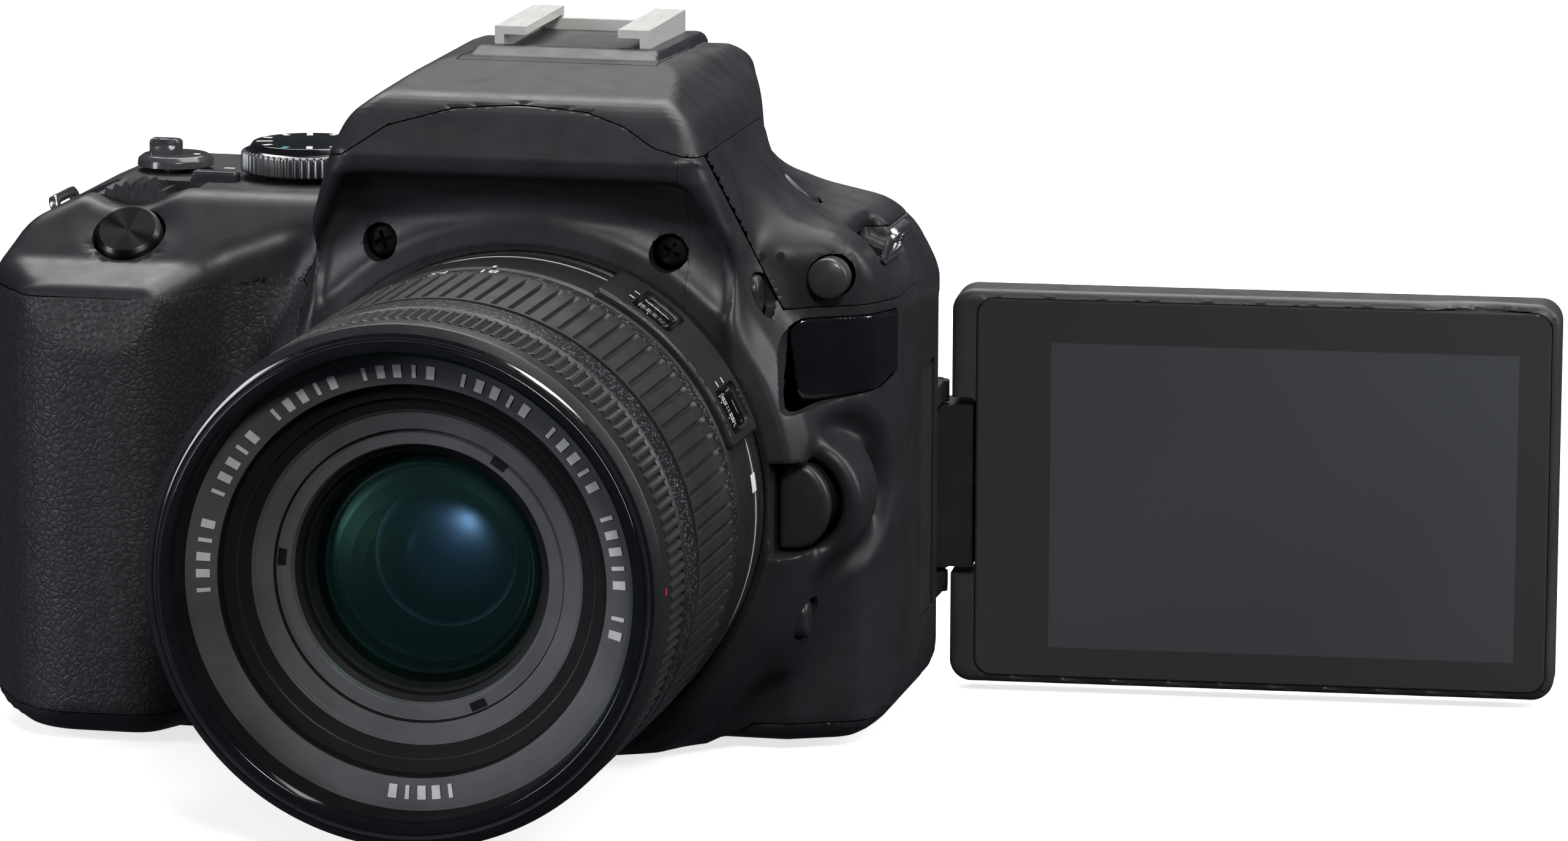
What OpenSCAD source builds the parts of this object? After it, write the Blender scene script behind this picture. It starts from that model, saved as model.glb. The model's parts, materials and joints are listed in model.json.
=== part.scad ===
// Small single-lens reflex camera with a zoom lens and a vari-angle display.
// X runs along the body (the grip is at -X), Y runs from the lens (-Y) to the eyepiece (+Y), Z is up.
// The origin is the mouth of the tripod socket, in the plane of the base, under the lens axis.

/* [Body] */
// Distance from the lens axis to the grip side of the body
grip_x = 76.4; // [75:0.1:78]
// Distance from the lens axis to the display side of the body
side_x = 46; // [45.5:0.1:47]
// Height of the shoulders
shoulder_h = 71; // [70.5:0.1:71.5]
// Height to the top of the accessory shoe rails
body_h = 92.6; // [92.2:0.1:93]
// How far the grip stands forward of the socket
grip_y = 34.8; // [34:0.1:36]
// Wall of the moulded covers
wall = 2; // [1.6:0.1:2.2]
// Thickness of the rubber skins
skin = 1.2; // [0.8:0.1:1.4]
// Gap along the parting lines
part_gap = 0.1; // [0.05:0.01:0.2]
// Clearance around parts that move
play = 0.3; // [0.25:0.01:0.35]

/* [Lens] */
// Height of the lens axis above the base
axis_z = 34.5; // [34.3:0.1:35]
// Lens mounting plane, forward of the socket
flange_y = -30; // [-30.5:0.1:-29.5]
// Length of the lens from its mounting plane
lens_l = 61.8; // [61.5:0.1:63]
// Outer radius of the lens
lens_r = 33.25; // [33.1:0.05:33.4]
// How far the zoom moves the front barrel
zoom_travel = 14; // [8:1:16]
// Radius of the filter thread
filter_r = 29; // [28.8:0.05:29.1]
// Number of ribs on the zoom ring
zoom_ribs = 92; // [60:1:100]
// Number of teeth on the focus ring
focus_teeth = 148; // [60:2:160]

/* [Display] */
// Width of the display panel
panel_w = 82.7; // [80:0.1:83]
// Height of the display panel
panel_h = 54.6; // [52:0.1:55]
// Thickness of the display panel
panel_t = 8; // [7:0.1:8.4]
// How far short of straight the opened panel stops
swing_short = 4; // [0:1:6]

/* [Hidden] */
$fn = 64;
eps = 0.01;

black = [0.10, 0.10, 0.11];
rubber = [0.07, 0.07, 0.08];
grey = [0.35, 0.35, 0.37];
steel = [0.75, 0.76, 0.78];
gloss = [0.03, 0.03, 0.04];
glass = [0.25, 0.35, 0.40];

rear_y = 24;          // rear face of the body
front_y = -18;        // front face between the grip and the lens
split_y = 6;          // parting plane of the front and rear covers
top_z = 59;           // parting plane of the front and top covers
hump_split_y = -4;    // parting plane of the front and top covers on the finder hump
rear_top_z = 66;      // parting plane of the rear and top covers
base_t = 3;           // thickness of the base
boss_r = 38.5;        // lens boss at its root
throat_r = 27.2;      // opening of the lens mount
front_end = flange_y - lens_l;

// ---- outlines ----
// Points of corner p = [x, y, radius] between the neighbours a and b.
function corner(a, p, b, n = 4) =
    p[2] == 0 ? [[p[0], p[1]]] :
    let (q = [p[0], p[1]], u = ([a[0], a[1]] - q) / norm([a[0], a[1]] - q),
         v = ([b[0], b[1]] - q) / norm([b[0], b[1]] - q),
         half = acos(u * v) / 2, c = q + (u + v) / norm(u + v) * p[2] / sin(half),
         s = q + u * p[2] / tan(half) - c, e = q + v * p[2] / tan(half) - c,
         t0 = atan2(s[1], s[0]), t1 = atan2(e[1], e[0]),
         turn = t1 - t0 > 180 ? t1 - t0 - 360 : t1 - t0 < -180 ? t1 - t0 + 360 : t1 - t0)
    [for (i = [0:n]) c + p[2] * [cos(t0 + turn * i / n), sin(t0 + turn * i / n)]];
// Outline through points given as [x, y, radius].
function rounded(p, n = 4) =
    [for (i = [0:len(p) - 1]) each corner(p[(i + len(p) - 1) % len(p)], p[i], p[(i + 1) % len(p)], n)];
function box_outline(w, h, r) = rounded([[-w / 2, -h / 2, r], [w / 2, -h / 2, r], [w / 2, h / 2, r], [-w / 2, h / 2, r]]);
function arc(r, a0, a1, n = 12) = [for (i = [0:n]) r * [cos(a0 + (a1 - a0) * i / n), sin(a0 + (a1 - a0) * i / n)]];

plan_outline = rounded([[side_x, rear_y, 5], [side_x, front_y, 12], [-34, front_y, 6], [-43, -22, 5],
    [-49, -grip_y, 9], [-66, -grip_y, 12], [-grip_x, -18, 14], [-grip_x, 10, 12], [-70, rear_y, 9]]);
front_outline = rounded([[side_x, 0, 7], [side_x, 58.5, 7], [41, 67.6, 7], [26, shoulder_h, 4], [-24, shoulder_h, 0],
    [-62, shoulder_h, 7], [-71, 66.5, 6], [-grip_x, 57, 6], [-grip_x, 0, 6]]);
side_outline = rounded([[rear_y, 0, 1], [rear_y, shoulder_h + 0.5, 2], [-13, 70.6, 4], [-23.5, 62, 3],
    [-32.5, 59.8, 4], [-grip_y - 0.2, 50, 5], [-grip_y - 0.4, 0, 4]]);
hump_front = rounded([[-28.8, 58, 0], [-28.4, 71, 3], [-23.3, 84.5, 6], [-16.5, 89.6, 8], [16.5, 89.6, 8],
    [23.3, 84.5, 6], [28.4, 71, 3], [28.8, 58, 0]]);
hump_plan = [[-29, -45], [29, -45], [29, -8], [18, 27], [-18, 27], [-29, -8]];
hump_side = rounded([[26, 58, 0], [26, 79, 3], [22, 88.3, 3], [-10, 89.3, 12], [-27, 85.5, 6], [-34.4, 80, 1.5],
    [-33.6, 77.5, 1], [-26.5, 68.5, 2], [-25.5, 58, 0]]);

// ---- helpers ----
// Box from one corner to the opposite one.
module block(a, b) { translate(a) cube(b - a); }
// Extrusion of an X-Z outline between two Y values, and of a Y-Z outline between two X values.
module along_y(y0, y1) { translate([0, y1, 0]) rotate([90, 0, 0]) linear_extrude(y1 - y0) children(); }
module along_x(x0, x1) { translate([x0, 0, 0]) rotate([90, 0, 90]) linear_extrude(x1 - x0) children(); }
// Turned shape about the lens axis: outline points are [radius, distance forward of the origin].
module turned(points) { translate([0, 0, axis_z]) rotate([90, 0, 0]) rotate_extrude($fn = 96) polygon(points); }
// Round bar about the lens axis.
module disc(r, y0, y1) { translate([0, y1, axis_z]) rotate([90, 0, 0]) cylinder(r = r, h = y1 - y0, $fn = 96); }
module ring(r_in, r_out, y0, y1) {
    difference() {
        disc(r_out, y0, y1);
        disc(r_in, y0 - 1, y1 + 1);
    }
}
// Sector of the lens axis from angle a0 to a1, measured from +X towards +Z.
module sector(a0, a1, y0, y1, r = 60) {
    along_y(y0, y1) translate([0, axis_z]) polygon(concat([[0, 0]], arc(r, a0, a1, 6)));
}
// Places children on the lens barrel at an angle, with local +X pointing outwards.
module on_barrel(a) { translate([0, 0, axis_z]) rotate([0, -a, 0]) children(); }
module bar_x(r, x0, x1, y, z) { translate([x0, y, z]) rotate([0, 90, 0]) cylinder(r = r, h = x1 - x0, $fn = 32); }
module bar_y(r, y0, y1, x, z) { translate([x, y1, z]) rotate([90, 0, 0]) cylinder(r = r, h = y1 - y0, $fn = 32); }
module bar_z(r, z0, z1, x, y) { translate([x, y, z0]) cylinder(r = r, h = z1 - z0, $fn = 32); }

// ---- outer form ----
module body_form(inset = 0) {
    intersection() {
        translate([0, 0, -5]) linear_extrude(90) offset(delta = -inset) polygon(plan_outline);
        along_y(-60, 60) offset(delta = -inset) polygon(front_outline);
        along_x(-90, 60) offset(delta = -inset) polygon(side_outline);
    }
}
module hump_form(inset = 0) {
    intersection() {
        along_y(-60, 60) offset(delta = -inset) polygon(hump_front);
        along_x(-40, 40) offset(delta = -inset) polygon(hump_side);
        translate([0, 0, 50]) linear_extrude(50) offset(delta = -inset) polygon(hump_plan);
    }
}
module boss_form() {
    intersection() {
        turned([[0, 10], [41.5, 10], [40.5, 18], [boss_r, 25.5], [35.3, 28.6], [34, 29.2], [0, 29.2]]);
        block([-50, -40, 0], [50, 0, 90]);
    }
}
module outer_form() {
    body_form();
    hump_form();
    boss_form();
}
module cavity() {
    body_form(wall);
    hump_form(wall);
    disc(31, -40, -10);
}

// ---- control places ----
shutter_at = [-56.3, -19, 65.6];
module at_shutter() { translate(shutter_at) rotate([40, 0, 0]) children(); }
dial_at = [-58, -7.5, 62.9];
dial_r = 8.4;
switch_at = [-56.8, 5.2, shoulder_h];
mode_at = [-37.9, 5, shoulder_h];
iso_at = [-48.8, -3, shoulder_h];
wireless_at = [30, 3, shoulder_h];
lamp_at = [38.5, -17, 63];
release_at = [37, -22.5, 33.9];
flash_hinge = [9.5, 83.6];         // y, z of the flash hinge
flash_ear_r = 5.1;
swing_at = [44, 26.4];            // x, y of the display's upright hinge
turn_at = [28.9, 27.6];           // y, z of the display's level hinge, before the swing
panel_x = 46.8;
mirror_hinge = [6, 49.3];         // y, z
door_hinge = [-44.7, 1.35];       // x, z
flap_hinge = [45.2, 8.8];         // x, y
keys_at = [-58.5, 27];            // x, z of the rear key ring
diopter_at = [25.6, 74];          // y, z
rear_spots = [["menu", 38, 62], ["info", 30, 62], ["live", -26, 62], ["play", -50, 10]];
button_r = 2.4;
screw_spots = [[-19.4, 67.3], [19.4, 67.3]];

module lug_place(side) {
    translate(side > 0 ? [42.7, 1.5, 62.8] : [-72.1, 8, 61.8]) rotate([0, side * 22, 0]) children();
}
// Recesses of the covers round the strap lugs.
module lug_pockets() {
    for (side = [-1, 1])
        lug_place(side) block([-2.4, -6.4, 0], [12, 6.4, 20]);
}
// Display pieces are drawn with the panel straight out, then turned to where the hinge stops.
module at_display() {
    translate([swing_at[0], swing_at[1], 0]) rotate([0, 0, swing_short]) translate([-swing_at[0], -swing_at[1], 0])
        children();
}

// ---- regions that share the outer form between the covers ----
// The block under the accessory shoe, which stays put when the flash head rises.
module shoe_island(gap = 0) { block([-13.6 + gap, -9.6 + 3 * gap, 70], [13.6 - gap, 40, 99]); }
module flash_region(gap = 0) {
    difference() {
        union() {
            intersection() {
                along_y(-50, flash_hinge[0])
                    polygon([[-40, 78.6 - gap], [-20, 79 - gap], [-12, 83.2 - gap], [0, 85.2 - gap],
                        [12, 83.2 - gap], [20, 79 - gap], [40, 78.6 - gap], [40, 99], [-40, 99]]);
                block([-40, -60, 60], [40, flash_hinge[0], 99]);
            }
            bar_x(flash_ear_r + 3 * gap, -40, 40, flash_hinge[0], flash_hinge[1]);
        }
        shoe_island(gap);
    }
}
module front_region() {
    block([-90, -60, base_t], [60, split_y, top_z]);
    block([-36, -60, -1], [50, front_y - part_gap, base_t + eps]);
    difference() {
        block([-35, -60, top_z - eps], [35, hump_split_y, 99]);
        flash_region(play);
        shoe_island();
        block([-21, -26, 80], [21, 0, 99]);
    }
}
module top_region() {
    difference() {
        union() {
            block([-90, -60, top_z + part_gap], [60, split_y + eps, 99]);
            block([-90, split_y, rear_top_z + part_gap], [60, 60, 99]);
        }
        difference() {
            block([-35, -60, 50], [35, hump_split_y + part_gap, 99]);
            shoe_island();
        }
        block([-18 - part_gap, 20 - part_gap, 60], [18 + part_gap, 60, 81 + part_gap]);
        flash_region(play);
    }
}
module rear_region() {
    block([-90, split_y + part_gap, base_t], [60, 60, rear_top_z]);
    block([-18, 20, 60], [18, 60, 81]);
}
module grip_skin_region(gap = 0) { block([-90, -60, 3.6 - gap], [-31 + gap, split_y - 0.4 + gap, 58.6 + gap]); }
// Outline of the badge seen from the front; it runs on round the side until y = -7.
module badge_region(gap = 0) {
    along_y(-30, -7 + gap) polygon(rounded([[34.6 - gap, 46.2 - gap, 1.2], [44.1, 47.5 - gap, 0],
        [45.5 + gap, 48.9 - gap, 0], [46.2 + gap, 51.1 - gap, 0], [60, 51.1 - gap, 0], [60, 57.6 + gap, 0],
        [33 - gap, 57.6 + gap, 2.3]]));
}
module display_recess(grow = 0) {
    block([-42.2 - grow, 19.7 - grow, -5], [60, 60, 55.8 + grow]);
}

// ---- covers ----
module front_cover() {
    color(black) {
        difference() {
            intersection() {
                outer_form();
                front_region();
            }
            cavity();
            intersection() {
                difference() {
                    body_form(-1);
                    body_form(skin + 0.05);
                }
                grip_skin_region(part_gap);
            }
            intersection() {
                difference() {
                    body_form(-1);
                    body_form(0.9);
                }
                badge_region(part_gap);
            }
            disc(32.5 + 0.05, -40, -27.5);
            along_y(-60, -22.5) translate([40.5, 33.9]) circle(r = 8.5);
            along_y(-40, -5) translate([release_at[0], release_at[2]])
                polygon(box_outline(7 + 2 * play, 12 + 2 * play, 3));
            oval_x(4.4 + 2 * play, 5.6 + 2 * play, 20, 50, -21.2, 61);
            oval_x(4 + 2 * play, 5.2 + 2 * play, 25, 50, -22, 18.4);
            for (s = screw_spots)
                bar_y(2.25, -60, -19.9, s[0], s[1]);
        }
    }
}
// Oval bar along X, for the buttons on the sides of the lens boss.
module oval_x(w, h, x0, x1, y, z) {
    along_x(x0, x1) translate([y, z]) polygon(box_outline(w, h, w / 2 - 0.1));
}

module top_cover() {
    color(black) difference() {
        intersection() {
            outer_form();
            top_region();
        }
        cavity();
        at_shutter() {
            cylinder(r = 6, h = 20);
            translate([0, 0, -12]) cylinder(r = 4.6 + play, h = 20);
        }
        block([dial_at[0] - 8.8, dial_at[1] - 2.8, 60], [dial_at[0] + 8.8, dial_at[1] + 2.8, 80]);
        bar_z(2 + play, 60, 80, switch_at[0], switch_at[1]);
        bar_z(2.5 + play, 60, 80, mode_at[0], mode_at[1]);
        block(iso_at - [3.2 + play, 1.2 + play, 8], iso_at + [3.2 + play, 1.2 + play, 8]);
        bar_z(3.2 + play, 60, 80, wireless_at[0], wireless_at[1]);
        bar_y(2.8 + part_gap, -40, 5, lamp_at[0], lamp_at[2]);
        block([-10.7, -1.3, 88.6], [10.7, 21.3, 99]);
        lug_pockets();
    }
}

module rear_cover() {
    color(black) {
        difference() {
            union() {
                intersection() {
                    outer_form();
                    rear_region();
                }
                block([-15, 25, 63], [15, 29.6, 80.8]);
            }
            difference() {
                cavity();
                display_recess(wall);
            }
            display_recess();
            lug_pockets();
            block([-9.2, 10, 65.4], [9.2, 40, 77.6]);
            along_x(43, 60) translate([12.25, 29.8]) polygon(box_outline(9.1, 34.5, 0.4));
            block([44.3, 8.1, 13.6], [60, 9.8, 46]);
            block([30, 10, 16], [60, 15.5, 44]);
            bar_z(0.65, 11, 49, flap_hinge[0], flap_hinge[1]);
            bar_y(9.6 + play, 15, 40, keys_at[0], keys_at[1]);
            for (s = rear_spots)
                bar_y(button_r + play, 15, 40, s[1], s[2]);
            bar_x(3.5 + play, 15.1, 17.5, diopter_at[0], diopter_at[1]);
        }
        for (z = [12.8, 39.2])
            difference() {
                union() {
                    bar_z(2.4, z, z + 2.9, swing_at[0], swing_at[1]);
                    block([swing_at[0] - 2.4, 19, z], [swing_at[0] + 1.9, swing_at[1], z + 2.9]);
                }
                bar_z(1.55, z - 1, z + 4, swing_at[0], swing_at[1]);
            }
    }
}

module base_cover() {
    color(black) difference() {
        intersection() {
            body_form();
            block([-90, -60, -1], [60, 60, base_t - part_gap]);
        }
        display_recess();
        block([-36, -60, -1], [50, front_y, base_t + 1]);
        bar_z(7.6, -1, 5, 0, 0);
        block([-67.8, -24.3, -1], [-43.1, 8.3, 5]);
        bar_y(0.85, -26, 10, door_hinge[0], door_hinge[1]);
    }
}

module grip_skin() {
    color(rubber) intersection() {
        difference() {
            body_form();
            body_form(skin);
        }
        grip_skin_region();
    }
}

module thumb_pad() {
    color(rubber) along_y(rear_y + 0.02, rear_y + 1.6)
        translate([-63.5, 50]) polygon(rounded([[-6.5, -9, 3], [5, -7, 3], [7, 8, 3], [-5, 9, 3]]));
}

module badge_plate() {
    color(gloss) intersection() {
        difference() {
            body_form(-0.4);
            body_form(0.8);
        }
        badge_region();
    }
}

// ---- frame and inner parts ----
module chassis() {
    color(grey) {
        difference() {
            union() {
                block([-42, -12, 3.6], [40, 9, 5]);
                block([-42, -12, 3.6], [-40.5, 13, 56]);
                block([38.4, -9, 3.6], [40, 9, 56]);
                block([-42, -12, 55], [-15.4, 12, 56.4]);
                block([15.4, -9, 55], [40, 9, 56.4]);
            }
            bar_z(6.2, 0, 10, 0, 0);
        }
        for (side = [-1, 1])
            difference() {
                union() {
                    block([side * 17.2 - 0.9, 7, 55], [side * 17.2 + 0.9, 11, flash_hinge[1]]);
                    bar_x(2.3, side * 17.2 - 0.9, side * 17.2 + 0.9, flash_hinge[0], flash_hinge[1]);
                }
                bar_x(1.25, side * 17.2 - 2, side * 17.2 + 2, flash_hinge[0], flash_hinge[1]);
            }
    }
}

module mirror_box() {
    color(gloss) difference() {
        union() {
            block([-19, -24.5, axis_z - 19], [19, 9.3, axis_z + 19]);
            disc(30.8, -27.5, -20);
        }
        disc(27.6, -40, -22);
        block([-17, -40, axis_z - 17], [17, 20, axis_z + 17]);
        block([-13, -20.5, 40], [13, 4.5, 60]);
        bar_x(0.85, -20, 20, mirror_hinge[0], mirror_hinge[1]);
        bar_y(1.6, -40, 0, 29.6, axis_z);
    }
}

module mount_flange() {
    color(steel) {
        difference() {
            ring(throat_r, 32.5, flange_y, -27.6);
            bar_y(1.25, -40, 0, 29.6, axis_z);
        }
        for (a = [30, 150, 270])
            intersection() {
                ring(25.8, throat_r + 0.4, flange_y, -28.9);
                sector(a, a + 56, flange_y - 1, -20);
            }
    }
}

module lamp_window() { color(grey) bar_y(2.8, -18.3, -14, lamp_at[0], lamp_at[2]); }

module accessory_shoe() {
    color(steel) difference() {
        block([-10.6, -1, 88.7], [10.6, 21, body_h]);
        block([-9.3, -2, 89.5], [9.3, 19.8, 91.5]);
        block([-6.3, -2, 91], [6.3, 22, 99]);
    }
}

module strap_lugs() {
    color(steel) for (side = [-1, 1])
        lug_place(side) along_x(-0.7, 0.7) translate([0, 2.5]) difference() {
            polygon(box_outline(10.4, 5, 1.5));
            polygon(box_outline(7.4, 2.4, 0.8));
        }
}

module cover_screws() {
    color(black) for (s = screw_spots)
        difference() {
            bar_y(2.2, -26.2, -20, s[0], s[1]);
            translate([s[0], -26.2, s[1]]) rotate([0, 45, 0]) {
                block([-1.3, -1, -0.3], [1.3, 1, 0.3]);
                block([-0.3, -1, -1.3], [0.3, 1, 1.3]);
            }
        }
}

module tripod_socket() {
    color(steel) difference() {
        union() {
            bar_z(7.5, 0, base_t, 0, 0);
            bar_z(6.1, 0, 8, 0, 0);
        }
        bar_z(2.55, -1, 5.5, 0, 0);
    }
}

module eyecup() {
    color(rubber) difference() {
        along_y(29.6, 35) translate([0, 71.7]) polygon(box_outline(33, 21.6, 6));
        along_y(29, 36) translate([0, 71.5]) polygon(box_outline(20, 13.6, 4));
    }
}

module eyepiece_lens() { color(glass) block([-9.1, 22.5, 65.5], [9.1, 25.5, 77.5]); }

module pentamirror() {
    color(grey) along_x(-15, 15) polygon([[-19, 54], [5, 54], [19, 65], [19, 76], [2, 76.6], [-19, 68]]);
}

module focusing_screen() { color(glass) block([-12.8, -20.3, 52], [12.8, 4.3, 53.3]); }

module shutter_unit() {
    color(grey) {
        difference() {
            block([-19, 9.5, axis_z - 18], [19, 12.5, axis_z + 18]);
            block([-12, 9, axis_z - 8.2], [12, 13, axis_z + 8.2]);
        }
        for (i = [0:3])
            block([-12.5, 10.3 + 0.35 * i, axis_z - 8.4 + 4.2 * i], [12.5, 10.7 + 0.35 * i, axis_z - 4 + 4.2 * i]);
    }
}

module image_sensor() { color(glass) block([-15, 13.1, axis_z - 11], [15, 15.5, axis_z + 11]); }

module main_board() {
    color([0.1, 0.35, 0.2]) {
        block([-38, 15.8, 8], [36, 17, 54]);
        block([-30, 14, 14], [-20, 15.9, 24]);
        block([22, 14, 34], [32, 15.9, 44]);
    }
}

module battery() { color(grey) block([-66, -22, 4], [-52, 11, 53.4]); }

module socket_block() {
    color(gloss) difference() {
        block([34, 9.8, 15.8], [43, 15.2, 44.2]);
        for (z = [39, 31])
            bar_x(1.75, 30, 50, 12.5, z);
        block([36, 10.9, 22.5], [50, 14.1, 27.5]);
        block([36, 10.9, 17], [50, 14.1, 20.5]);
    }
}

// ---- controls ----
module shutter_button() {
    color(grey) at_shutter() {
        translate([0, 0, -1.2]) cylinder(r1 = 4.6, r2 = 4.2, h = 2.2);
        translate([0, 0, -6]) cylinder(r = 2, h = 5);
    }
}

module toothed_disc(r, depth, teeth) {
    polygon([for (i = [0:2 * teeth - 1]) (i % 2 == 0 ? r : r - depth) * [cos(180 * i / teeth), sin(180 * i / teeth)]]);
}
module main_dial() {
    color(black) difference() {
        along_y(dial_at[1] - 2.4, dial_at[1] + 2.4) translate([dial_at[0], dial_at[2]]) toothed_disc(dial_r, 0.7, 36);
        bar_y(1.2, -20, 10, dial_at[0], dial_at[2]);
    }
}

module power_switch() {
    color(gloss) {
        bar_z(2, shoulder_h - 6, shoulder_h + 1, switch_at[0], switch_at[1]);
        translate([switch_at[0], switch_at[1], shoulder_h + play]) {
            cylinder(r = 5.2, h = 1.6);
            block([-3.4, -1.1, 1], [0.6, 1.1, 3.6]);
        }
    }
}

module mode_dial() {
    color(gloss) {
        bar_z(2.5, shoulder_h - 6, shoulder_h + 1, mode_at[0], mode_at[1]);
        translate(mode_at + [0, 0, play]) linear_extrude(2.8) toothed_disc(9.3, 0.4, 60);
        translate(mode_at + [0, 0, play + 2.8]) cylinder(r1 = 8.3, r2 = 7.8, h = 1.2);
    }
}

module iso_button() { color(black) block(iso_at - [3.2, 1.2, 5], iso_at + [3.2, 1.2, 1]); }

module wireless_button() { color(black) bar_z(3.2, shoulder_h - 5, shoulder_h + 0.8, wireless_at[0], wireless_at[1]); }

module flash_button() { color(black) oval_x(4.4, 5.6, 22, 28.9, -21.2, 61); }

module preview_button() { color(black) oval_x(4, 5.2, 30, 36.8, -22, 18.4); }

module release_button() {
    color(black) along_y(-25.2, -14) translate([release_at[0], release_at[2]]) polygon(box_outline(7, 12, 3));
}

module lock_pin() { color(steel) bar_y(1.15, flange_y - 1.2, -21, 29.6, axis_z); }

module flash_head() {
    color(black) difference() {
        union() {
            intersection() {
                difference() {
                    hump_form();
                    hump_form(wall);
                }
                flash_region();
            }
            intersection() {
                hump_form(wall + play + 0.2);
                block([-15, -25.3, 79.5], [15, -11, 90]);
            }
            intersection() {
                hump_form(wall / 2);
                flash_region(-play);
                block([-15, -25.3, 83], [15, -11, 90]);
            }
            intersection() {
                hump_form(wall / 2);
                union() {
                    bar_x(2.4, -23, -21.2, flash_hinge[0], flash_hinge[1]);
                    bar_x(2.4, 21.2, 23, flash_hinge[0], flash_hinge[1]);
                }
            }
            bar_x(1.2, -22.4, -16, flash_hinge[0], flash_hinge[1]);
            bar_x(1.2, 16, 22.4, flash_hinge[0], flash_hinge[1]);
        }
        block([-13.1, -24.1, 79], [13.1, -12.9, 81]);
    }
}

module flash_window() { color(glass) block([-13, -24, 79.7], [13, -13, 81]); }

module reflex_mirror() {
    color(steel) {
        translate([0, mirror_hinge[0], mirror_hinge[1]]) rotate([45, 0, 0]) block([-15.5, -26, -0.5], [15.5, 0, 0.5]);
        bar_x(0.8, -18.8, 18.8, mirror_hinge[0], mirror_hinge[1]);
    }
}

module battery_door() {
    color(black) difference() {
        union() {
            block([-67.5, -24, 0], [-45.5, 8, 2.6]);
            bar_y(1.25, -24, 8, door_hinge[0], door_hinge[1]);
            bar_y(0.8, -25.4, 9.4, door_hinge[0], door_hinge[1]);
        }
        block([-66.3, -12.3, -1], [-58.5, -3.7, 1.6]);
    }
}

module door_latch() {
    color(grey) difference() {
        block([-66, -12, 0.1], [-61.5, -4, 1.5]);
        block([-64.2, -10, -1], [-63.3, -6, 0.7]);
    }
}

module terminal_cover() {
    color(rubber) {
        along_x(44.5, 45.9) translate([12.25, 29.8]) polygon(box_outline(8.5, 33.9, 1.2));
        bar_z(0.6, 11.6, 48, flap_hinge[0], flap_hinge[1]);
    }
}

module screen_hinge() {
    color(black) at_display() {
        translate([0, 0, turn_at[1]]) {
            block([swing_at[0] - 2.2, swing_at[1] - 2.2, -11.2], [46.6, swing_at[1] + 2.2, 11.2]);
            block([45.2, turn_at[0] - 3.8, -11.2], [panel_x + 3, turn_at[0] + 3.8, 11.2]);
        }
        bar_z(1.5, 13, 42, swing_at[0], swing_at[1]);
        bar_x(1.5, panel_x + 2, panel_x + 8, turn_at[0], turn_at[1]);
    }
}

module screen_case() {
    color(black) at_display() difference() {
        along_y(24.9, 24.9 + panel_t) translate([panel_x + panel_w / 2, 0.3 + panel_h / 2])
            polygon(box_outline(panel_w, panel_h, 3.2));
        block([panel_x - 1, 20, turn_at[1] - 12.3], [panel_x + 3.3, 40, turn_at[1] + 12.3]);
        along_y(20, 26.2) translate([panel_x + 3.5 + 39, 0.3 + panel_h / 2]) polygon(box_outline(78.2, 52.6, 2.5));
        bar_x(1.55, panel_x + 1, panel_x + 8.3, turn_at[0], turn_at[1]);
    }
}

module screen_panel() {
    color(gloss) at_display() along_y(24.9, 26.1)
        translate([panel_x + 3.5 + 39, 0.3 + panel_h / 2]) polygon(box_outline(78, 52.4, 2.4));
}

module diopter_wheel() {
    color(black) difference() {
        along_x(15.4, 17.2) translate(diopter_at) toothed_disc(3.5, 0.4, 24);
        bar_x(1, 10, 20, diopter_at[0], diopter_at[1]);
    }
}

module rear_button(i) { bar_y(button_r, 18.5, rear_y + 1, rear_spots[i][1], rear_spots[i][2]); }
module menu_button() { color(black) rear_button(0); }
module info_button() { color(black) rear_button(1); }
module live_view_button() { color(black) rear_button(2); }
module playback_button() { color(black) rear_button(3); }

module cross_keys() {
    color(black) difference() {
        bar_y(9.6, 19, rear_y + 1.4, keys_at[0], keys_at[1]);
        bar_y(4.4 + play, 10, 40, keys_at[0], keys_at[1]);
    }
}
module set_button() { color(black) bar_y(4.4, 19, rear_y + 1, keys_at[0], keys_at[1]); }

// ---- lens ----
module lens_bayonet() {
    color(steel) {
        difference() {
            ring(23.5, 31.2, -31.6, flange_y - 0.1);
            intersection() {
                ring(28.2, 31, -33, -20);
                sector(-4, 67, -33, -20);
            }
        }
        ring(23.5, 25.4, -31, -25.2);
        for (a = [33, 153, 273])
            intersection() {
                ring(25, 26.9, -28.5, -27.2);
                sector(a, a + 50, -32, -20);
            }
    }
}

module lens_barrel() {
    color(black) difference() {
        union() {
            turned([[18, 31.6], [31.4, 31.6], [32.3, 34], [33.1, 46.9], [31, 46.9], [31, 70.2], [30.2, 70.2],
                [30.2, 35.4], [18, 35.4]]);
            intersection() {
                ring(32, 34.2, -46.2, -32);
                sector(18.5, 66, -50, -20);
            }
        }
        for (a = [26, 52.7])
            on_barrel(a) block([33, -44, -2.8], [40, -34, 2.8]);
    }
}

// Knob of a lens switch, at its forward end of travel.
module lens_switch(a) {
    on_barrel(a) {
        block([33.1, -43.5, -2.4], [34.3, -37.5, 2.4]);
        block([34.2, -41.3, -2.4], [35, -39.7, 2.4]);
    }
}
module focus_switch() { color(black) lens_switch(52.7); }
module stabiliser_switch() { color(black) lens_switch(26); }

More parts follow.
